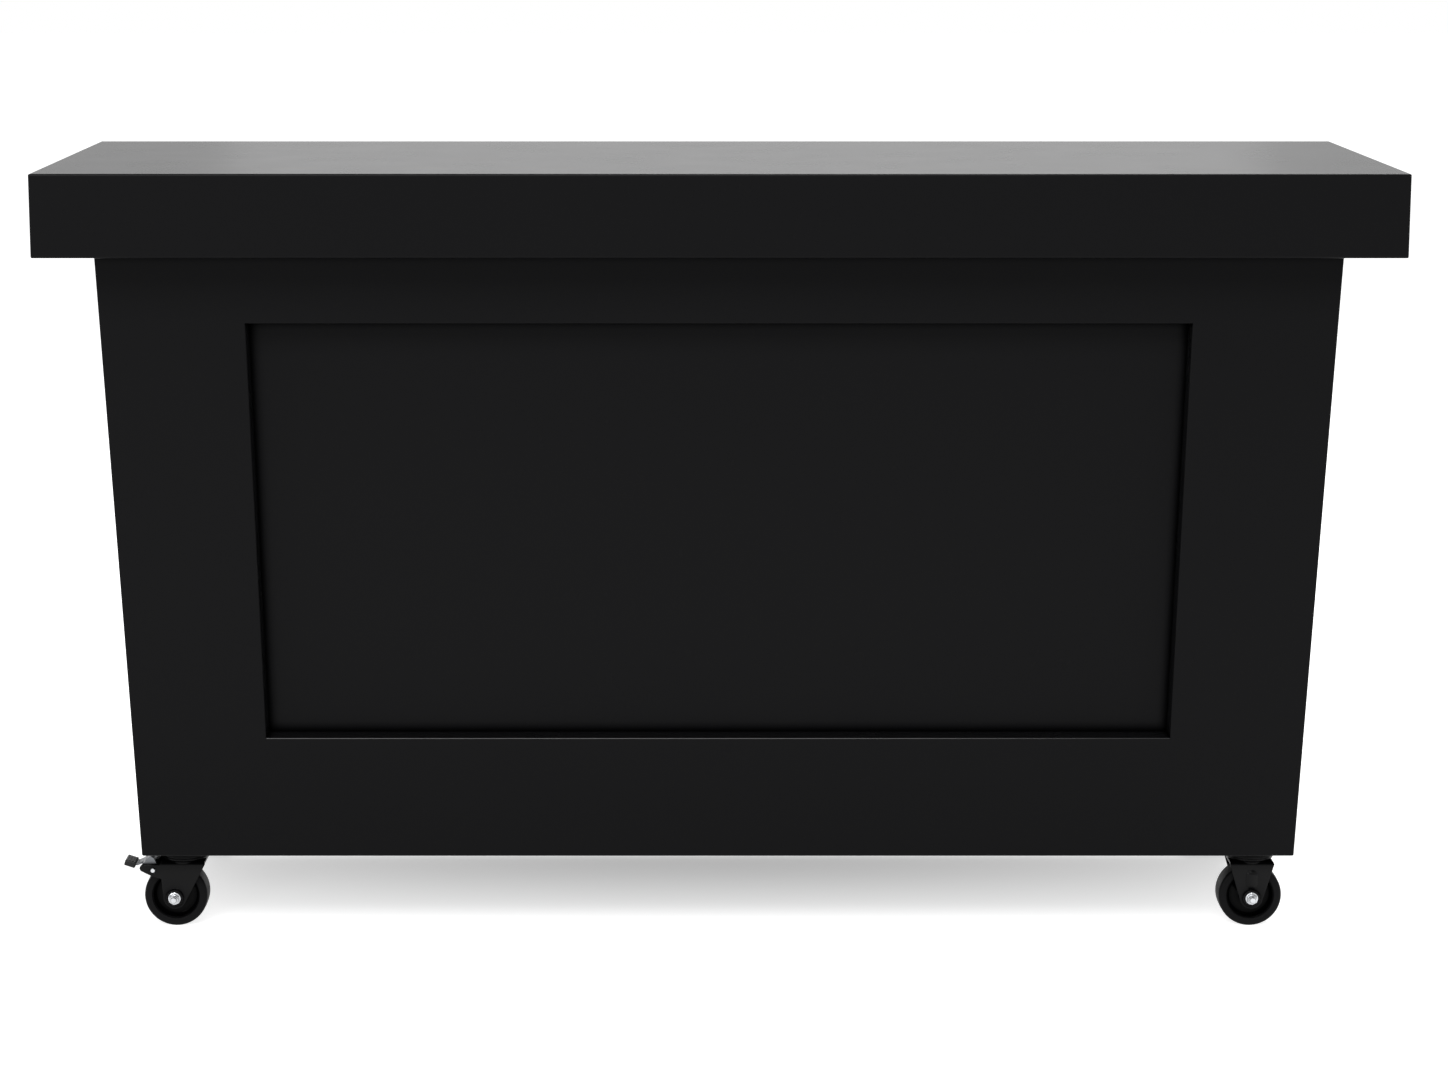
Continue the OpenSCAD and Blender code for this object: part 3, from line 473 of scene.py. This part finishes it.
def paint_arris_highlights(obj, flat=0.996, tilt=0.2):
    """Gives the arrises on top of a board a painted highlight, the glossier lacquer copy: faces
    that slope and look up.
    """
    obj.data.materials.append(finish_of(ARRIS_HIGHLIGHT))
    for face in obj.data.polygons:
        if tilt < face.normal.z < flat:
            face.material_index = 1


# Making pieces


def add_piece(name, mesh, body, slot_name, node):
    """Puts a mesh into the scene as a piece that stands for a node and rides on a body."""
    obj = bpy.data.objects.new(name, mesh)
    bpy.context.scene.collection.objects.link(obj)
    give_finish(obj, slot_name)
    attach(obj, body)
    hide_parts(node)
    return obj


def smooth(mesh, below=SMOOTH_BELOW):
    """Smooths a mesh wherever its faces meet at less than an angle in degrees."""
    mesh.shade_smooth()
    mesh.set_sharp_from_angle(angle=math.radians(below))


def mesh_from(name, bm, smooth_below=SMOOTH_BELOW):
    """A mesh from a bmesh, smooth wherever its faces meet at less than an angle in degrees."""
    bmesh.ops.remove_doubles(bm, verts=bm.verts, dist=0.001 * MM)
    bmesh.ops.recalc_face_normals(bm, faces=bm.faces)
    mesh = bpy.data.meshes.new(name)
    bm.to_mesh(mesh)
    bm.free()
    smooth(mesh, smooth_below)
    return mesh


def polar_rings(bm, rings, steps, place):
    """Surface round a local Z axis through rings. A ring is a radius and a height, either of
    them a number or a function of the angle, and a ring with no radius is one point."""
    rows = []
    for radius, height in rings:
        if radius == 0:
            rows.append([bm.verts.new(place @ Vector((0, 0, height)))])
            continue
        row = []
        for i in range(steps):
            turn = math.tau * i / steps
            r = radius(turn) if callable(radius) else radius
            h = height(turn) if callable(height) else height
            row.append(bm.verts.new(place @ Vector((r * math.cos(turn), r * math.sin(turn), h))))
        rows.append(row)
    for low, high in zip(rows, rows[1:]):
        for i in range(steps):
            j = (i + 1) % steps
            corners = list(dict.fromkeys((low[i % len(low)], low[j % len(low)],
                                          high[j % len(high)], high[i % len(high)])))
            if len(corners) > 2:
                bm.faces.new(corners)


def arc(centre, radius, start, end, steps):
    """Points of an arc in a profile, from one angle to another, in degrees."""
    return [(centre[0] + radius * math.cos(math.radians(start + (end - start) * i / steps)),
             centre[1] + radius * math.sin(math.radians(start + (end - start) * i / steps)))
            for i in range(steps + 1)]


def both_faces(profile):
    """A closed section from the half of it that lies in front of a wheel's middle."""
    section = profile + [(radius, -height) for radius, height in reversed(profile)]
    return section + section[:1]


def thread(crest, root, start, pitch, turns, valley):
    """Rings of a thread. Its first valley lies this share of a pitch after the start, and each
    crest half a pitch after its valley."""
    rings = []
    for turn in range(turns):
        base = start + turn * pitch
        rings += [(root, base + valley * pitch), (crest, base + (valley + 0.5) * pitch)]
    return rings


def hexagon(half_width):
    """Radius of a hexagon at an angle."""
    def radius(turn):
        return half_width / math.cos((turn + math.pi / 6) % (math.pi / 3) - math.pi / 6)
    return radius


def hex_head(half_width, base, top):
    """Rings of a hexagon head whose corners a 30 degree chamfer cuts, from base to top."""
    full = hexagon(half_width)
    round_face = 0.96 * half_width
    slope = math.copysign(math.tan(math.radians(30)), top - base)

    def corner(turn):
        return top - (full(turn) - round_face) * slope
    return [(full, base), (full, corner), (round_face, top)]


def facing_front(point):
    """A matrix whose local Z points to the front, which is -Y, from a point."""
    return Matrix.Translation(point) @ Matrix.Rotation(math.pi / 2, 4, "X")


def along_x(point):
    """A matrix whose local Z lies along X through a point."""
    return Matrix.Translation(point) @ Matrix.Rotation(math.pi / 2, 4, "Y")


def middle(node):
    """The middle of a node's box."""
    low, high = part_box(node)
    return (low + high) / 2


def solid_groups(node):
    """Lowest and highest corner of each separate solid of a node, found by its loose parts."""
    mesh = frame["nodes"][node].data
    bm = bmesh.new()
    bm.from_mesh(mesh)
    bmesh.ops.remove_doubles(bm, verts=bm.verts, dist=0.01 * MM)
    boxes = []
    seen = set()
    for start in bm.verts:
        if start.index in seen or not start.link_edges:
            continue
        stack, places = [start], []
        seen.add(start.index)
        while stack:
            vert = stack.pop()
            places.append(vert.co.copy())
            for edge in vert.link_edges:
                other = edge.other_vert(vert)
                if other.index not in seen:
                    seen.add(other.index)
                    stack.append(other)
        boxes.append((Vector([min(place[k] for place in places) for k in range(3)]),
                      Vector([max(place[k] for place in places) for k in range(3)])))
    bm.free()
    return sorted(boxes, key=lambda box: tuple(round(x, 4) for x in box[0]))


def rectangle(low, high):
    """The outline in X and Z of a box."""
    return [(low.x, low.z), (high.x, low.z), (high.x, high.z), (low.x, high.z)]


def anywhere(point, low, high):
    """Picks every edge of a board."""
    return True


def on_back(point, low, high):
    """Picks the edges on the back of a board."""
    return point.y > high.y - MM


def on_underside(point, low, high):
    """Picks the edges under a board."""
    return point.z < low.z + MM


def prism(bm, outline, low, high, softened, radius):
    """A board with this box: an outline in X and Z run along Y. Edges that softened picks by
    their middle are rounded."""
    near = [bm.verts.new((x, low.y, z)) for x, z in outline]
    far = [bm.verts.new((x, high.y, z)) for x, z in outline]
    faces = [bm.faces.new(near), bm.faces.new(list(reversed(far)))]
    count = len(outline)
    for i in range(count):
        j = (i + 1) % count
        faces.append(bm.faces.new((near[j], near[i], far[i], far[j])))
    edges = dict.fromkeys(edge for face in faces for edge in face.edges
                          if softened((edge.verts[0].co + edge.verts[1].co) / 2, low, high))
    bmesh.ops.bevel(bm, geom=list(edges), offset=radius, offset_type="OFFSET", segments=3,
                    profile=0.5, affect="EDGES")


def add_boards(name, node, boards, softened, ease):
    """Adds the boards of a node, each given by its outline and the corners of its box."""
    bm = bmesh.new()
    for outline, low, high in boards:
        prism(bm, outline, low, high, softened, ease)
    return add_piece(name, mesh_from(name, bm), "root", "black_lacquered_board", node)


def drill(board, points, reach, radius):
    """Cuts a round hole along X about each point, this far on either side of it."""
    bm = bmesh.new()
    for point in points:
        bmesh.ops.create_cone(bm, cap_ends=True, segments=HOLE_STEPS, radius1=radius,
                              radius2=radius, depth=2 * reach, matrix=along_x(point))
    mesh = bpy.data.meshes.new("drill")
    bm.to_mesh(mesh)
    bm.free()
    cutter = bpy.data.objects.new("drill", mesh)
    bpy.context.scene.collection.objects.link(cutter)
    cut = board.modifiers.new("drill", "BOOLEAN")
    cut.object = cutter
    cut.solver = "EXACT"
    evaluated = board.evaluated_get(bpy.context.evaluated_depsgraph_get())
    drilled = bpy.data.meshes.new_from_object(evaluated)
    board.modifiers.clear()
    board.data = drilled
    smooth(drilled)
    bpy.data.objects.remove(cutter)
    bpy.data.meshes.remove(mesh)


def pin_holes(boards):
    """The shelf pin holes: those that hold a pin, and the spare ones above and below."""
    pins = solid_groups("shelf_pins")
    low, high = pins[0]
    rows = range(-boards.hole_rows, boards.hole_rows + 1)
    return PinHoles(
        radius=(high.z - low.z) / 2,
        depths=sorted({round((near.y + far.y) / 2, 5) for near, far in pins}),
        heights=[(low.z + high.z) / 2 + row * boards.hole_pitch for row in rows])


# Shapes of the fittings and wheels


def shelf_pin(fittings, low, high):
    """Rings and place of a plain pin along X with chamfered ends."""
    radius, half = (high.z - low.z) / 2, (high.x - low.x) / 2
    edge = 0.6 * MM
    rings = [(0, -half), (radius - edge, -half), (radius, edge - half),
             (radius, half - edge), (radius - edge, half), (0, half)]
    return rings, along_x((low + high) / 2)


def socket_screw(fittings, low, high):
    """Rings and place of a domed screw with a hexagon socket, its head down."""
    head, tip = (high.x - low.x) / 2, high.z - low.z
    socket = hexagon(fittings.socket_half)
    socket_depth, mouth_depth, mouth_flare = 1.6 * MM, 0.2 * MM, 0.3 * MM
    head_height = 2.5 * MM
    shank = head / 2

    def mouth(turn):
        return socket(turn) + mouth_flare
    rings = [(0, socket_depth), (socket, socket_depth), (socket, mouth_depth), (mouth, 0)]
    dome = [(0.72 * head, 0), (0.9 * head, 0.35 * MM), (head, 1.2 * MM)]
    rings += dome + [(head, head_height), (shank, head_height), (shank, tip), (0, tip)]
    return rings, Matrix.Translation(((low.x + high.x) / 2, (low.y + high.y) / 2, low.z))


def plate_screw(fittings, low, high):
    """Rings and place of a hexagon screw, its head down, whose thread bites into the deck."""
    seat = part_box("front_fixed_plate")[0].z
    half, shank = (high.y - low.y) / 2, fittings.plate_screw_shank / 2
    drop, rise = seat - low.z, high.z - seat
    washer = 0.5 * MM
    start, turns = 0.4 * rise, 7
    pitch = 0.5 * rise / turns
    rings = [(0, -drop)] + hex_head(half, -washer, -drop)[::-1]
    rings += [(half, -washer), (half, 0), (shank, 0), (shank, start)]
    rings += thread(shank, 0.75 * shank, start, pitch, turns, valley=0.3) + [(0, rise)]
    return rings, Matrix.Translation(((low.x + high.x) / 2, (low.y + high.y) / 2, seat))


def flanged_nut(fittings, low, high):
    """Rings and place of a lock nut, its flange at the back and its collar in front."""
    radius, height = (high.x - low.x) / 2, high.y - low.y
    bore, flange, half = fittings.axle_radius, fittings.nut_flange, fittings.nut_half
    hex_top = flange + fittings.nut_hex
    collar = half - 0.6 * MM
    rim = [(radius - 0.3 * MM, 0), (radius, 0.4 * MM), (radius - 0.2 * MM, 0.9 * MM)]
    crimp = [(collar, height - 1.0 * MM), (collar - 0.7 * MM, height - 0.2 * MM)]
    chamfer = [(bore + 0.5 * MM, height), (bore, height - 0.4 * MM)]
    rings = [(bore, 0)] + rim + hex_head(half, flange, hex_top)
    rings += [(collar, hex_top)] + crimp + chamfer + [(bore, 0)]
    return rings, facing_front(((low.x + high.x) / 2, high.y, (low.z + high.z) / 2))


def axle_bolt(fittings, low, high):
    """Rings and place of a hexagon bolt, its head at the back and its thread in front."""
    radius, head, pitch = fittings.axle_radius, fittings.bolt_head, fittings.thread_pitch
    length = high.y - low.y
    turns, plain_turns = 10, 2
    start = length - (turns + plain_turns) * pitch
    rings = [(0, 0)] + hex_head(fittings.nut_half, head, 0)[::-1]
    rings += [(radius, head), (radius, start)]
    rings += thread(radius, 0.86 * radius, start, pitch, turns, valley=0.5)
    rings += [(radius, length - 0.8 * MM), (0.8 * radius, length), (0, length)]
    return rings, facing_front(((low.x + high.x) / 2, high.y, (low.z + high.z) / 2))


def tyre_profile(wheels, low, high):
    """Half a tyre's section, from its seat on the rim over the shoulder to the tread's middle."""
    radius, half = (high.z - low.z) / 2, (high.y - low.y) / 2
    rim, shoulder = wheels.rim_radius, wheels.shoulder
    lip = [(rim, half - 1.2 * MM), (rim + 0.8 * MM, half)]
    side = [(radius - shoulder, half)]
    side += arc((radius - shoulder, half - shoulder), shoulder - 0.2 * MM, 80, 14, steps=6)
    # The tread is crowned by a quarter of a millimetre
    crown = [(radius - 0.25 * MM, half - shoulder - 0.6 * MM), (radius - 0.05 * MM, 3 * MM),
             (radius, 0.5 * MM)]
    return lip + side + crown


def wheel_profile(wheels, low, high):
    """Half a wheel's section, from its bore over the hub and the dish to the rim."""
    bore, hub, rim = wheels.bore_radius, wheels.hub_radius, wheels.rim_radius
    face, web = wheels.rim_half, wheels.web_half
    foot, brow = wheels.dish_low, wheels.dish_high
    hub_half = (high.y - low.y) / 2
    wall = rim - wheels.rim_wall
    edge, chamfer = 0.8 * MM, 0.3 * MM
    profile = [(bore, hub_half - edge), (bore + edge, hub_half), (hub - edge, hub_half)]
    profile += arc((hub - edge, hub_half - edge), edge, 90, 0, steps=3)
    profile += arc((hub + foot, web + foot), foot, 180, 270, steps=8)
    profile += arc((wall - brow, web + brow), brow, -90, 0, steps=8)
    profile += arc((wall + edge, face - edge), edge, 180, 90, steps=3)
    return profile + [(rim - chamfer, face), (rim, face - chamfer)]


def add_turned(name, node, body, steps, shape, fittings):
    """Adds the zinc-plated pieces of a node, each with the rings and the place of a shape."""
    bm = bmesh.new()
    for low, high in solid_groups(node):
        rings, place = shape(fittings, low, high)
        polar_rings(bm, rings, steps, place)
    add_piece(name, mesh_from(name, bm), body, "zinc_plated_steel", node)


def add_moulding(node, body, slot_name, profile, wheels, smooth_below):
    """Adds a piece of a wheel, turned about its axle from half of its section."""
    bm = bmesh.new()
    section = both_faces(profile(wheels, *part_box(node)))
    polar_rings(bm, section, WHEEL_STEPS, facing_front(middle(node)))
    add_piece(node + "_moulding", mesh_from(node, bm, smooth_below), body, slot_name, node)


# Operators


class BARCOUNTER_OT_finish_nodes(bpy.types.Operator):
    """Gives every solid of the counter the material of its slot"""
    bl_idname = "bar_counter.finish_nodes"
    bl_label = "Finish of every solid"

    def execute(self, context):
        for part in frame["record"]["subparts"]:
            give_finish(frame["nodes"][part["node"]], part["material_slot"])
        # Painted highlight along the bottom rail's upper arris
        paint_arris_highlights(frame["nodes"]["bottom_rail"])
        return {"FINISHED"}


class BARCOUNTER_OT_back_boards(bpy.types.Operator):
    """Makes the boards that show from behind, with eased edges and shelf pin holes"""
    bl_idname = "bar_counter.back_boards"
    bl_label = "Boards seen from behind"

    def execute(self, context):
        boards = context.scene.bar_counter_boards
        holes = pin_holes(boards)
        self.make_end_boards(boards, holes)
        self.make_divider(boards, holes)
        self.make_deck(boards)
        self.make_stretchers(boards)
        self.make_shelves(boards)
        return {"FINISHED"}

    def make_end_boards(self, boards, holes):
        low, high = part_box("right_end_panel")
        outer_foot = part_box("base_deck")[1].x
        width = outer_foot - low.x
        right = [(low.x, low.z), (outer_foot, low.z), (high.x, high.z), (high.x - width, high.z)]
        lean = (high.x - outer_foot) / (high.z - low.z)
        for sign, side in ((1, "right"), (-1, "left")):
            outline = [(sign * x, z) for x, z in right]
            board = add_boards(side + "_end_board", side + "_end_panel",
                               [(outline, low, high)], on_back, boards.eased_edge)
            inside = [(sign * (low.x + (z - low.z) * lean), z) for z in holes.heights]
            drill(board, [(x, y, z) for x, z in inside for y in holes.depths],
                  boards.hole_depth, holes.radius)

    def make_divider(self, boards, holes):
        low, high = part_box("centre_divider")
        board = add_boards("centre_divider_board", "centre_divider",
                           [(rectangle(low, high), low, high)], on_back, boards.eased_edge)
        drill(board, [(0, y, z) for y in holes.depths for z in holes.heights],
              high.x - low.x, holes.radius)

    def make_deck(self, boards):
        low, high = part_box("base_deck")
        stile_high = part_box("right_stile")[1]
        top, radius = high.x, boards.foot_corner
        lean = math.atan((stile_high.x - top) / (stile_high.z - high.z))
        foot = top - (high.z - low.z) * math.tan(lean)
        back = radius / math.tan((math.pi / 2 + lean) / 2)
        corner = arc((foot - back, low.z + radius), radius, -90, -math.degrees(lean), steps=6)
        right = corner + [(top, high.z)]
        outline = [(-x, z) for x, z in reversed(right)] + right
        add_boards("base_deck_board", "base_deck", [(outline, low, high)], on_back,
                   boards.eased_edge)

    def make_stretchers(self, boards):
        solids = solid_groups("top_stretchers")
        add_boards("top_stretcher_boards", "top_stretchers",
                   [(rectangle(low, high), low, high) for low, high in solids],
                   on_underside, boards.eased_edge)

    def make_shelves(self, boards):
        for side in ("left", "right"):
            low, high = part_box(side + "_shelf")
            add_boards(side + "_shelf_board", side + "_shelf",
                       [(rectangle(low, high), low, high)], anywhere, boards.eased_edge)


class BARCOUNTER_OT_board_fittings(bpy.types.Operator):
    """Makes the shelf pins, the stretcher screws and the screws of the caster plates"""
    bl_idname = "bar_counter.board_fittings"
    bl_label = "Pins and screws"

    def execute(self, context):
        fittings = context.scene.bar_counter_fittings
        for name, node, steps, shape in (
                ("shelf_pin_set", "shelf_pins", PIN_STEPS, shelf_pin),
                ("stretcher_screw_set", "top_screws", SCREW_STEPS, socket_screw),
                ("plate_screw_set", "caster_screws", SCREW_STEPS, plate_screw)):
            add_turned(name, node, "root", steps, shape, fittings)
        return {"FINISHED"}


class BARCOUNTER_OT_wheels(bpy.types.Operator):
    """Makes the four moulded wheels and their tyres"""
    bl_idname = "bar_counter.wheels"
    bl_label = "Wheels and tyres"

    def execute(self, context):
        wheels = context.scene.bar_counter_wheels
        for end in ("front", "rear"):
            for kind, side in (("_swivel", "_left"), ("_fixed", "_right")):
                body = end + side + "_wheel"
                add_moulding(end + kind + "_tyre", body, "tyre_rubber", tyre_profile, wheels,
                             smooth_below=40.0)
                add_moulding(end + kind + "_wheel", body, "wheel_plastic", wheel_profile, wheels,
                             smooth_below=50.0)
        return {"FINISHED"}


class BARCOUNTER_OT_axle_fittings(bpy.types.Operator):
    """Makes the axle bolts and their flanged lock nuts"""
    bl_idname = "bar_counter.axle_fittings"
    bl_label = "Axle bolts and nuts"

    def execute(self, context):
        fittings = context.scene.bar_counter_fittings
        for nuts, bolts, body in (
                ("front_axle_nut", "front_axle_bolt", "front_left_swivel"),
                ("rear_axle_nut", "rear_axle_bolt", "rear_left_swivel"),
                ("fixed_axle_nuts", "fixed_axle_bolts", "root")):
            add_turned(nuts + "_flanged", nuts, body, NUT_STEPS, flanged_nut, fittings)
            add_turned(bolts + "_threaded", bolts, body, SCREW_STEPS, axle_bolt, fittings)
        return {"FINISHED"}


class BARCOUNTER_OT_studio(bpy.types.Operator):
    """Makes the floor, the lamps, the white surroundings and the camera"""
    bl_idname = "bar_counter.studio"
    bl_label = "Studio"

    def execute(self, context):
        studio = context.scene.bar_counter_studio
        self.lay_floor(context.scene, studio)
        self.light_world(context.scene)
        self.hang_lamps(context.scene)
        self.set_camera(context.scene, studio)
        context.scene.view_settings.view_transform = "Standard"
        return {"FINISHED"}

    def lay_floor(self, scene, studio):
        mesh = bpy.data.meshes.new("studio_floor")
        mesh.from_pydata([(-FLOOR_HALF, -FLOOR_HALF, 0), (FLOOR_HALF, -FLOOR_HALF, 0),
                          (FLOOR_HALF, FLOOR_HALF, 0), (-FLOOR_HALF, FLOOR_HALF, 0)],
                         [], [(0, 1, 2, 3)])
        floor = bpy.data.objects.new("studio_floor", mesh)
        scene.collection.objects.link(floor)
        mesh.materials.append(self.floor_paint(studio))

    def floor_paint(self, studio):
        """Matt pale paint that glows whiter away from the counter, so that the floor shows no
        edge, and glows less under the counter as a painted shadow.
        """
        material = bpy.data.materials.new("painted_floor_matt")
        material.use_nodes = True
        tree = material.node_tree
        tree.nodes.clear()
        paint = add_node(tree, "ShaderNodeBsdfDiffuse", {"Color": linear(studio.floor_colour)})
        coordinates = add_node(tree, "ShaderNodeTexCoord")
        # Painted shadow: the glow is weakest in a patch round the middle of the counter's depth,
        # stretched along its length
        patch = add_node(tree, "ShaderNodeMapping", {
            "vector_type": "TEXTURE", "Location": (0, studio.painted_shadow_middle, 0),
            "Scale": (studio.painted_shadow_length, 1, 1)}, Vector=coordinates.outputs["Object"])
        distance = add_node(tree, "ShaderNodeVectorMath", {"operation": "LENGTH"},
                            Vector=patch.outputs["Vector"])
        whiteness = add_node(
            tree, "ShaderNodeMapRange",
            {"interpolation_type": "SMOOTHSTEP", "From Min": studio.glow_start,
             "From Max": studio.glow_end, "To Min": studio.glow_in_painted_shadow, "To Max": studio.far_glow},
            Value=distance.outputs["Value"])
        glow = add_node(tree, "ShaderNodeMath", {"operation": "MULTIPLY"})
        tree.links.new(self.seen_or_mirrored(tree), glow.inputs[0])
        tree.links.new(whiteness.outputs["Result"], glow.inputs[1])
        light = add_node(tree, "ShaderNodeEmission", {"Color": WHITE},
                         Strength=glow.outputs["Value"])
        both = add_node(tree, "ShaderNodeAddShader")
        tree.links.new(paint.outputs["BSDF"], both.inputs[0])
        tree.links.new(light.outputs["Emission"], both.inputs[1])
        out = add_node(tree, "ShaderNodeOutputMaterial")
        tree.links.new(both.outputs["Shader"], out.inputs["Surface"])
        return material

    def seen_or_mirrored(self, tree):
        """A socket that is 1 for a ray from the camera, off a shiny surface or through glass."""
        ray = add_node(tree, "ShaderNodeLightPath")
        seen = add_node(tree, "ShaderNodeMath", {"operation": "MAXIMUM"})
        tree.links.new(ray.outputs["Is Camera Ray"], seen.inputs[0])
        tree.links.new(ray.outputs["Is Transmission Ray"], seen.inputs[1])
        either = add_node(tree, "ShaderNodeMath", {"operation": "MAXIMUM"})
        tree.links.new(seen.outputs["Value"], either.inputs[0])
        tree.links.new(ray.outputs["Is Glossy Ray"], either.inputs[1])
        return either.outputs["Value"]

    def light_world(self, scene):
        world = bpy.data.worlds.new("studio_white")
        world.use_nodes = True
        tree = world.node_tree
        tree.nodes.clear()
        strength = add_node(tree, "ShaderNodeMapRange",
                            {"To Min": WHITE_AS_LIGHT, "To Max": WHITE_AS_SEEN},
                            Value=self.seen_or_mirrored(tree))
        sky = add_node(tree, "ShaderNodeBackground", {"Color": WHITE},
                       Strength=strength.outputs["Result"])
        out = add_node(tree, "ShaderNodeOutputWorld")
        tree.links.new(sky.outputs["Background"], out.inputs["Surface"])
        scene.world = world

    def hang_lamps(self, scene):
        for lamp in LAMPS:
            light = bpy.data.lights.new(lamp.name, "AREA")
            light.shape = "RECTANGLE"
            light.size = lamp.width
            light.size_y = lamp.height
            light.energy = lamp.power
            obj = bpy.data.objects.new(lamp.name, light)
            obj.location = lamp.place
            aim = LAMP_TARGET - Vector(lamp.place)
            obj.rotation_euler = aim.to_track_quat("-Z", "Y").to_euler()
            scene.collection.objects.link(obj)

    def set_camera(self, scene, studio):
        camera = bpy.data.cameras.new("camera")
        camera.lens = studio.lens_mm
        camera.sensor_width = SENSOR_MM
        camera.shift_x = studio.camera_shift
        obj = bpy.data.objects.new("camera", camera)
        obj.location = studio.camera_place
        obj.rotation_euler = (math.pi / 2 - studio.camera_pitch, 0, 0)
        scene.collection.objects.link(obj)
        scene.camera = obj


class BARCOUNTER_PT_panel(bpy.types.Panel):
    bl_label = "Bar counter"
    bl_idname = "BARCOUNTER_PT_panel"
    bl_space_type = "VIEW_3D"
    bl_region_type = "UI"
    bl_category = "Bar counter"

    def draw(self, context):
        for attribute in GROUPS:
            group = getattr(context.scene, attribute)
            for name in group.__annotations__:
                self.layout.prop(group, name)
        for operator in OPERATORS:
            self.layout.operator(operator.bl_idname)


GROUPS = {
    "bar_counter_finish": BarCounterFinish,
    "bar_counter_boards": BarCounterBoards,
    "bar_counter_fittings": BarCounterFittings,
    "bar_counter_wheels": BarCounterWheels,
    "bar_counter_studio": BarCounterStudio,
}
OPERATORS = (
    BARCOUNTER_OT_finish_nodes,
    BARCOUNTER_OT_back_boards,
    BARCOUNTER_OT_board_fittings,
    BARCOUNTER_OT_wheels,
    BARCOUNTER_OT_axle_fittings,
    BARCOUNTER_OT_studio,
)
CLASSES = tuple(GROUPS.values()) + OPERATORS + (BARCOUNTER_PT_panel,)


def register():
    for cls in CLASSES:
        bpy.utils.register_class(cls)
    for attribute, group in GROUPS.items():
        setattr(bpy.types.Scene, attribute, bpy.props.PointerProperty(type=group))


def unregister():
    for attribute in GROUPS:
        delattr(bpy.types.Scene, attribute)
    for cls in reversed(CLASSES):
        bpy.utils.unregister_class(cls)


def main():
    register()
    bpy.ops.bar_counter.finish_nodes()
    bpy.ops.bar_counter.back_boards()
    bpy.ops.bar_counter.board_fittings()
    bpy.ops.bar_counter.wheels()
    bpy.ops.bar_counter.axle_fittings()
    bpy.ops.bar_counter.studio()


if __name__ == "__main__":
    main()
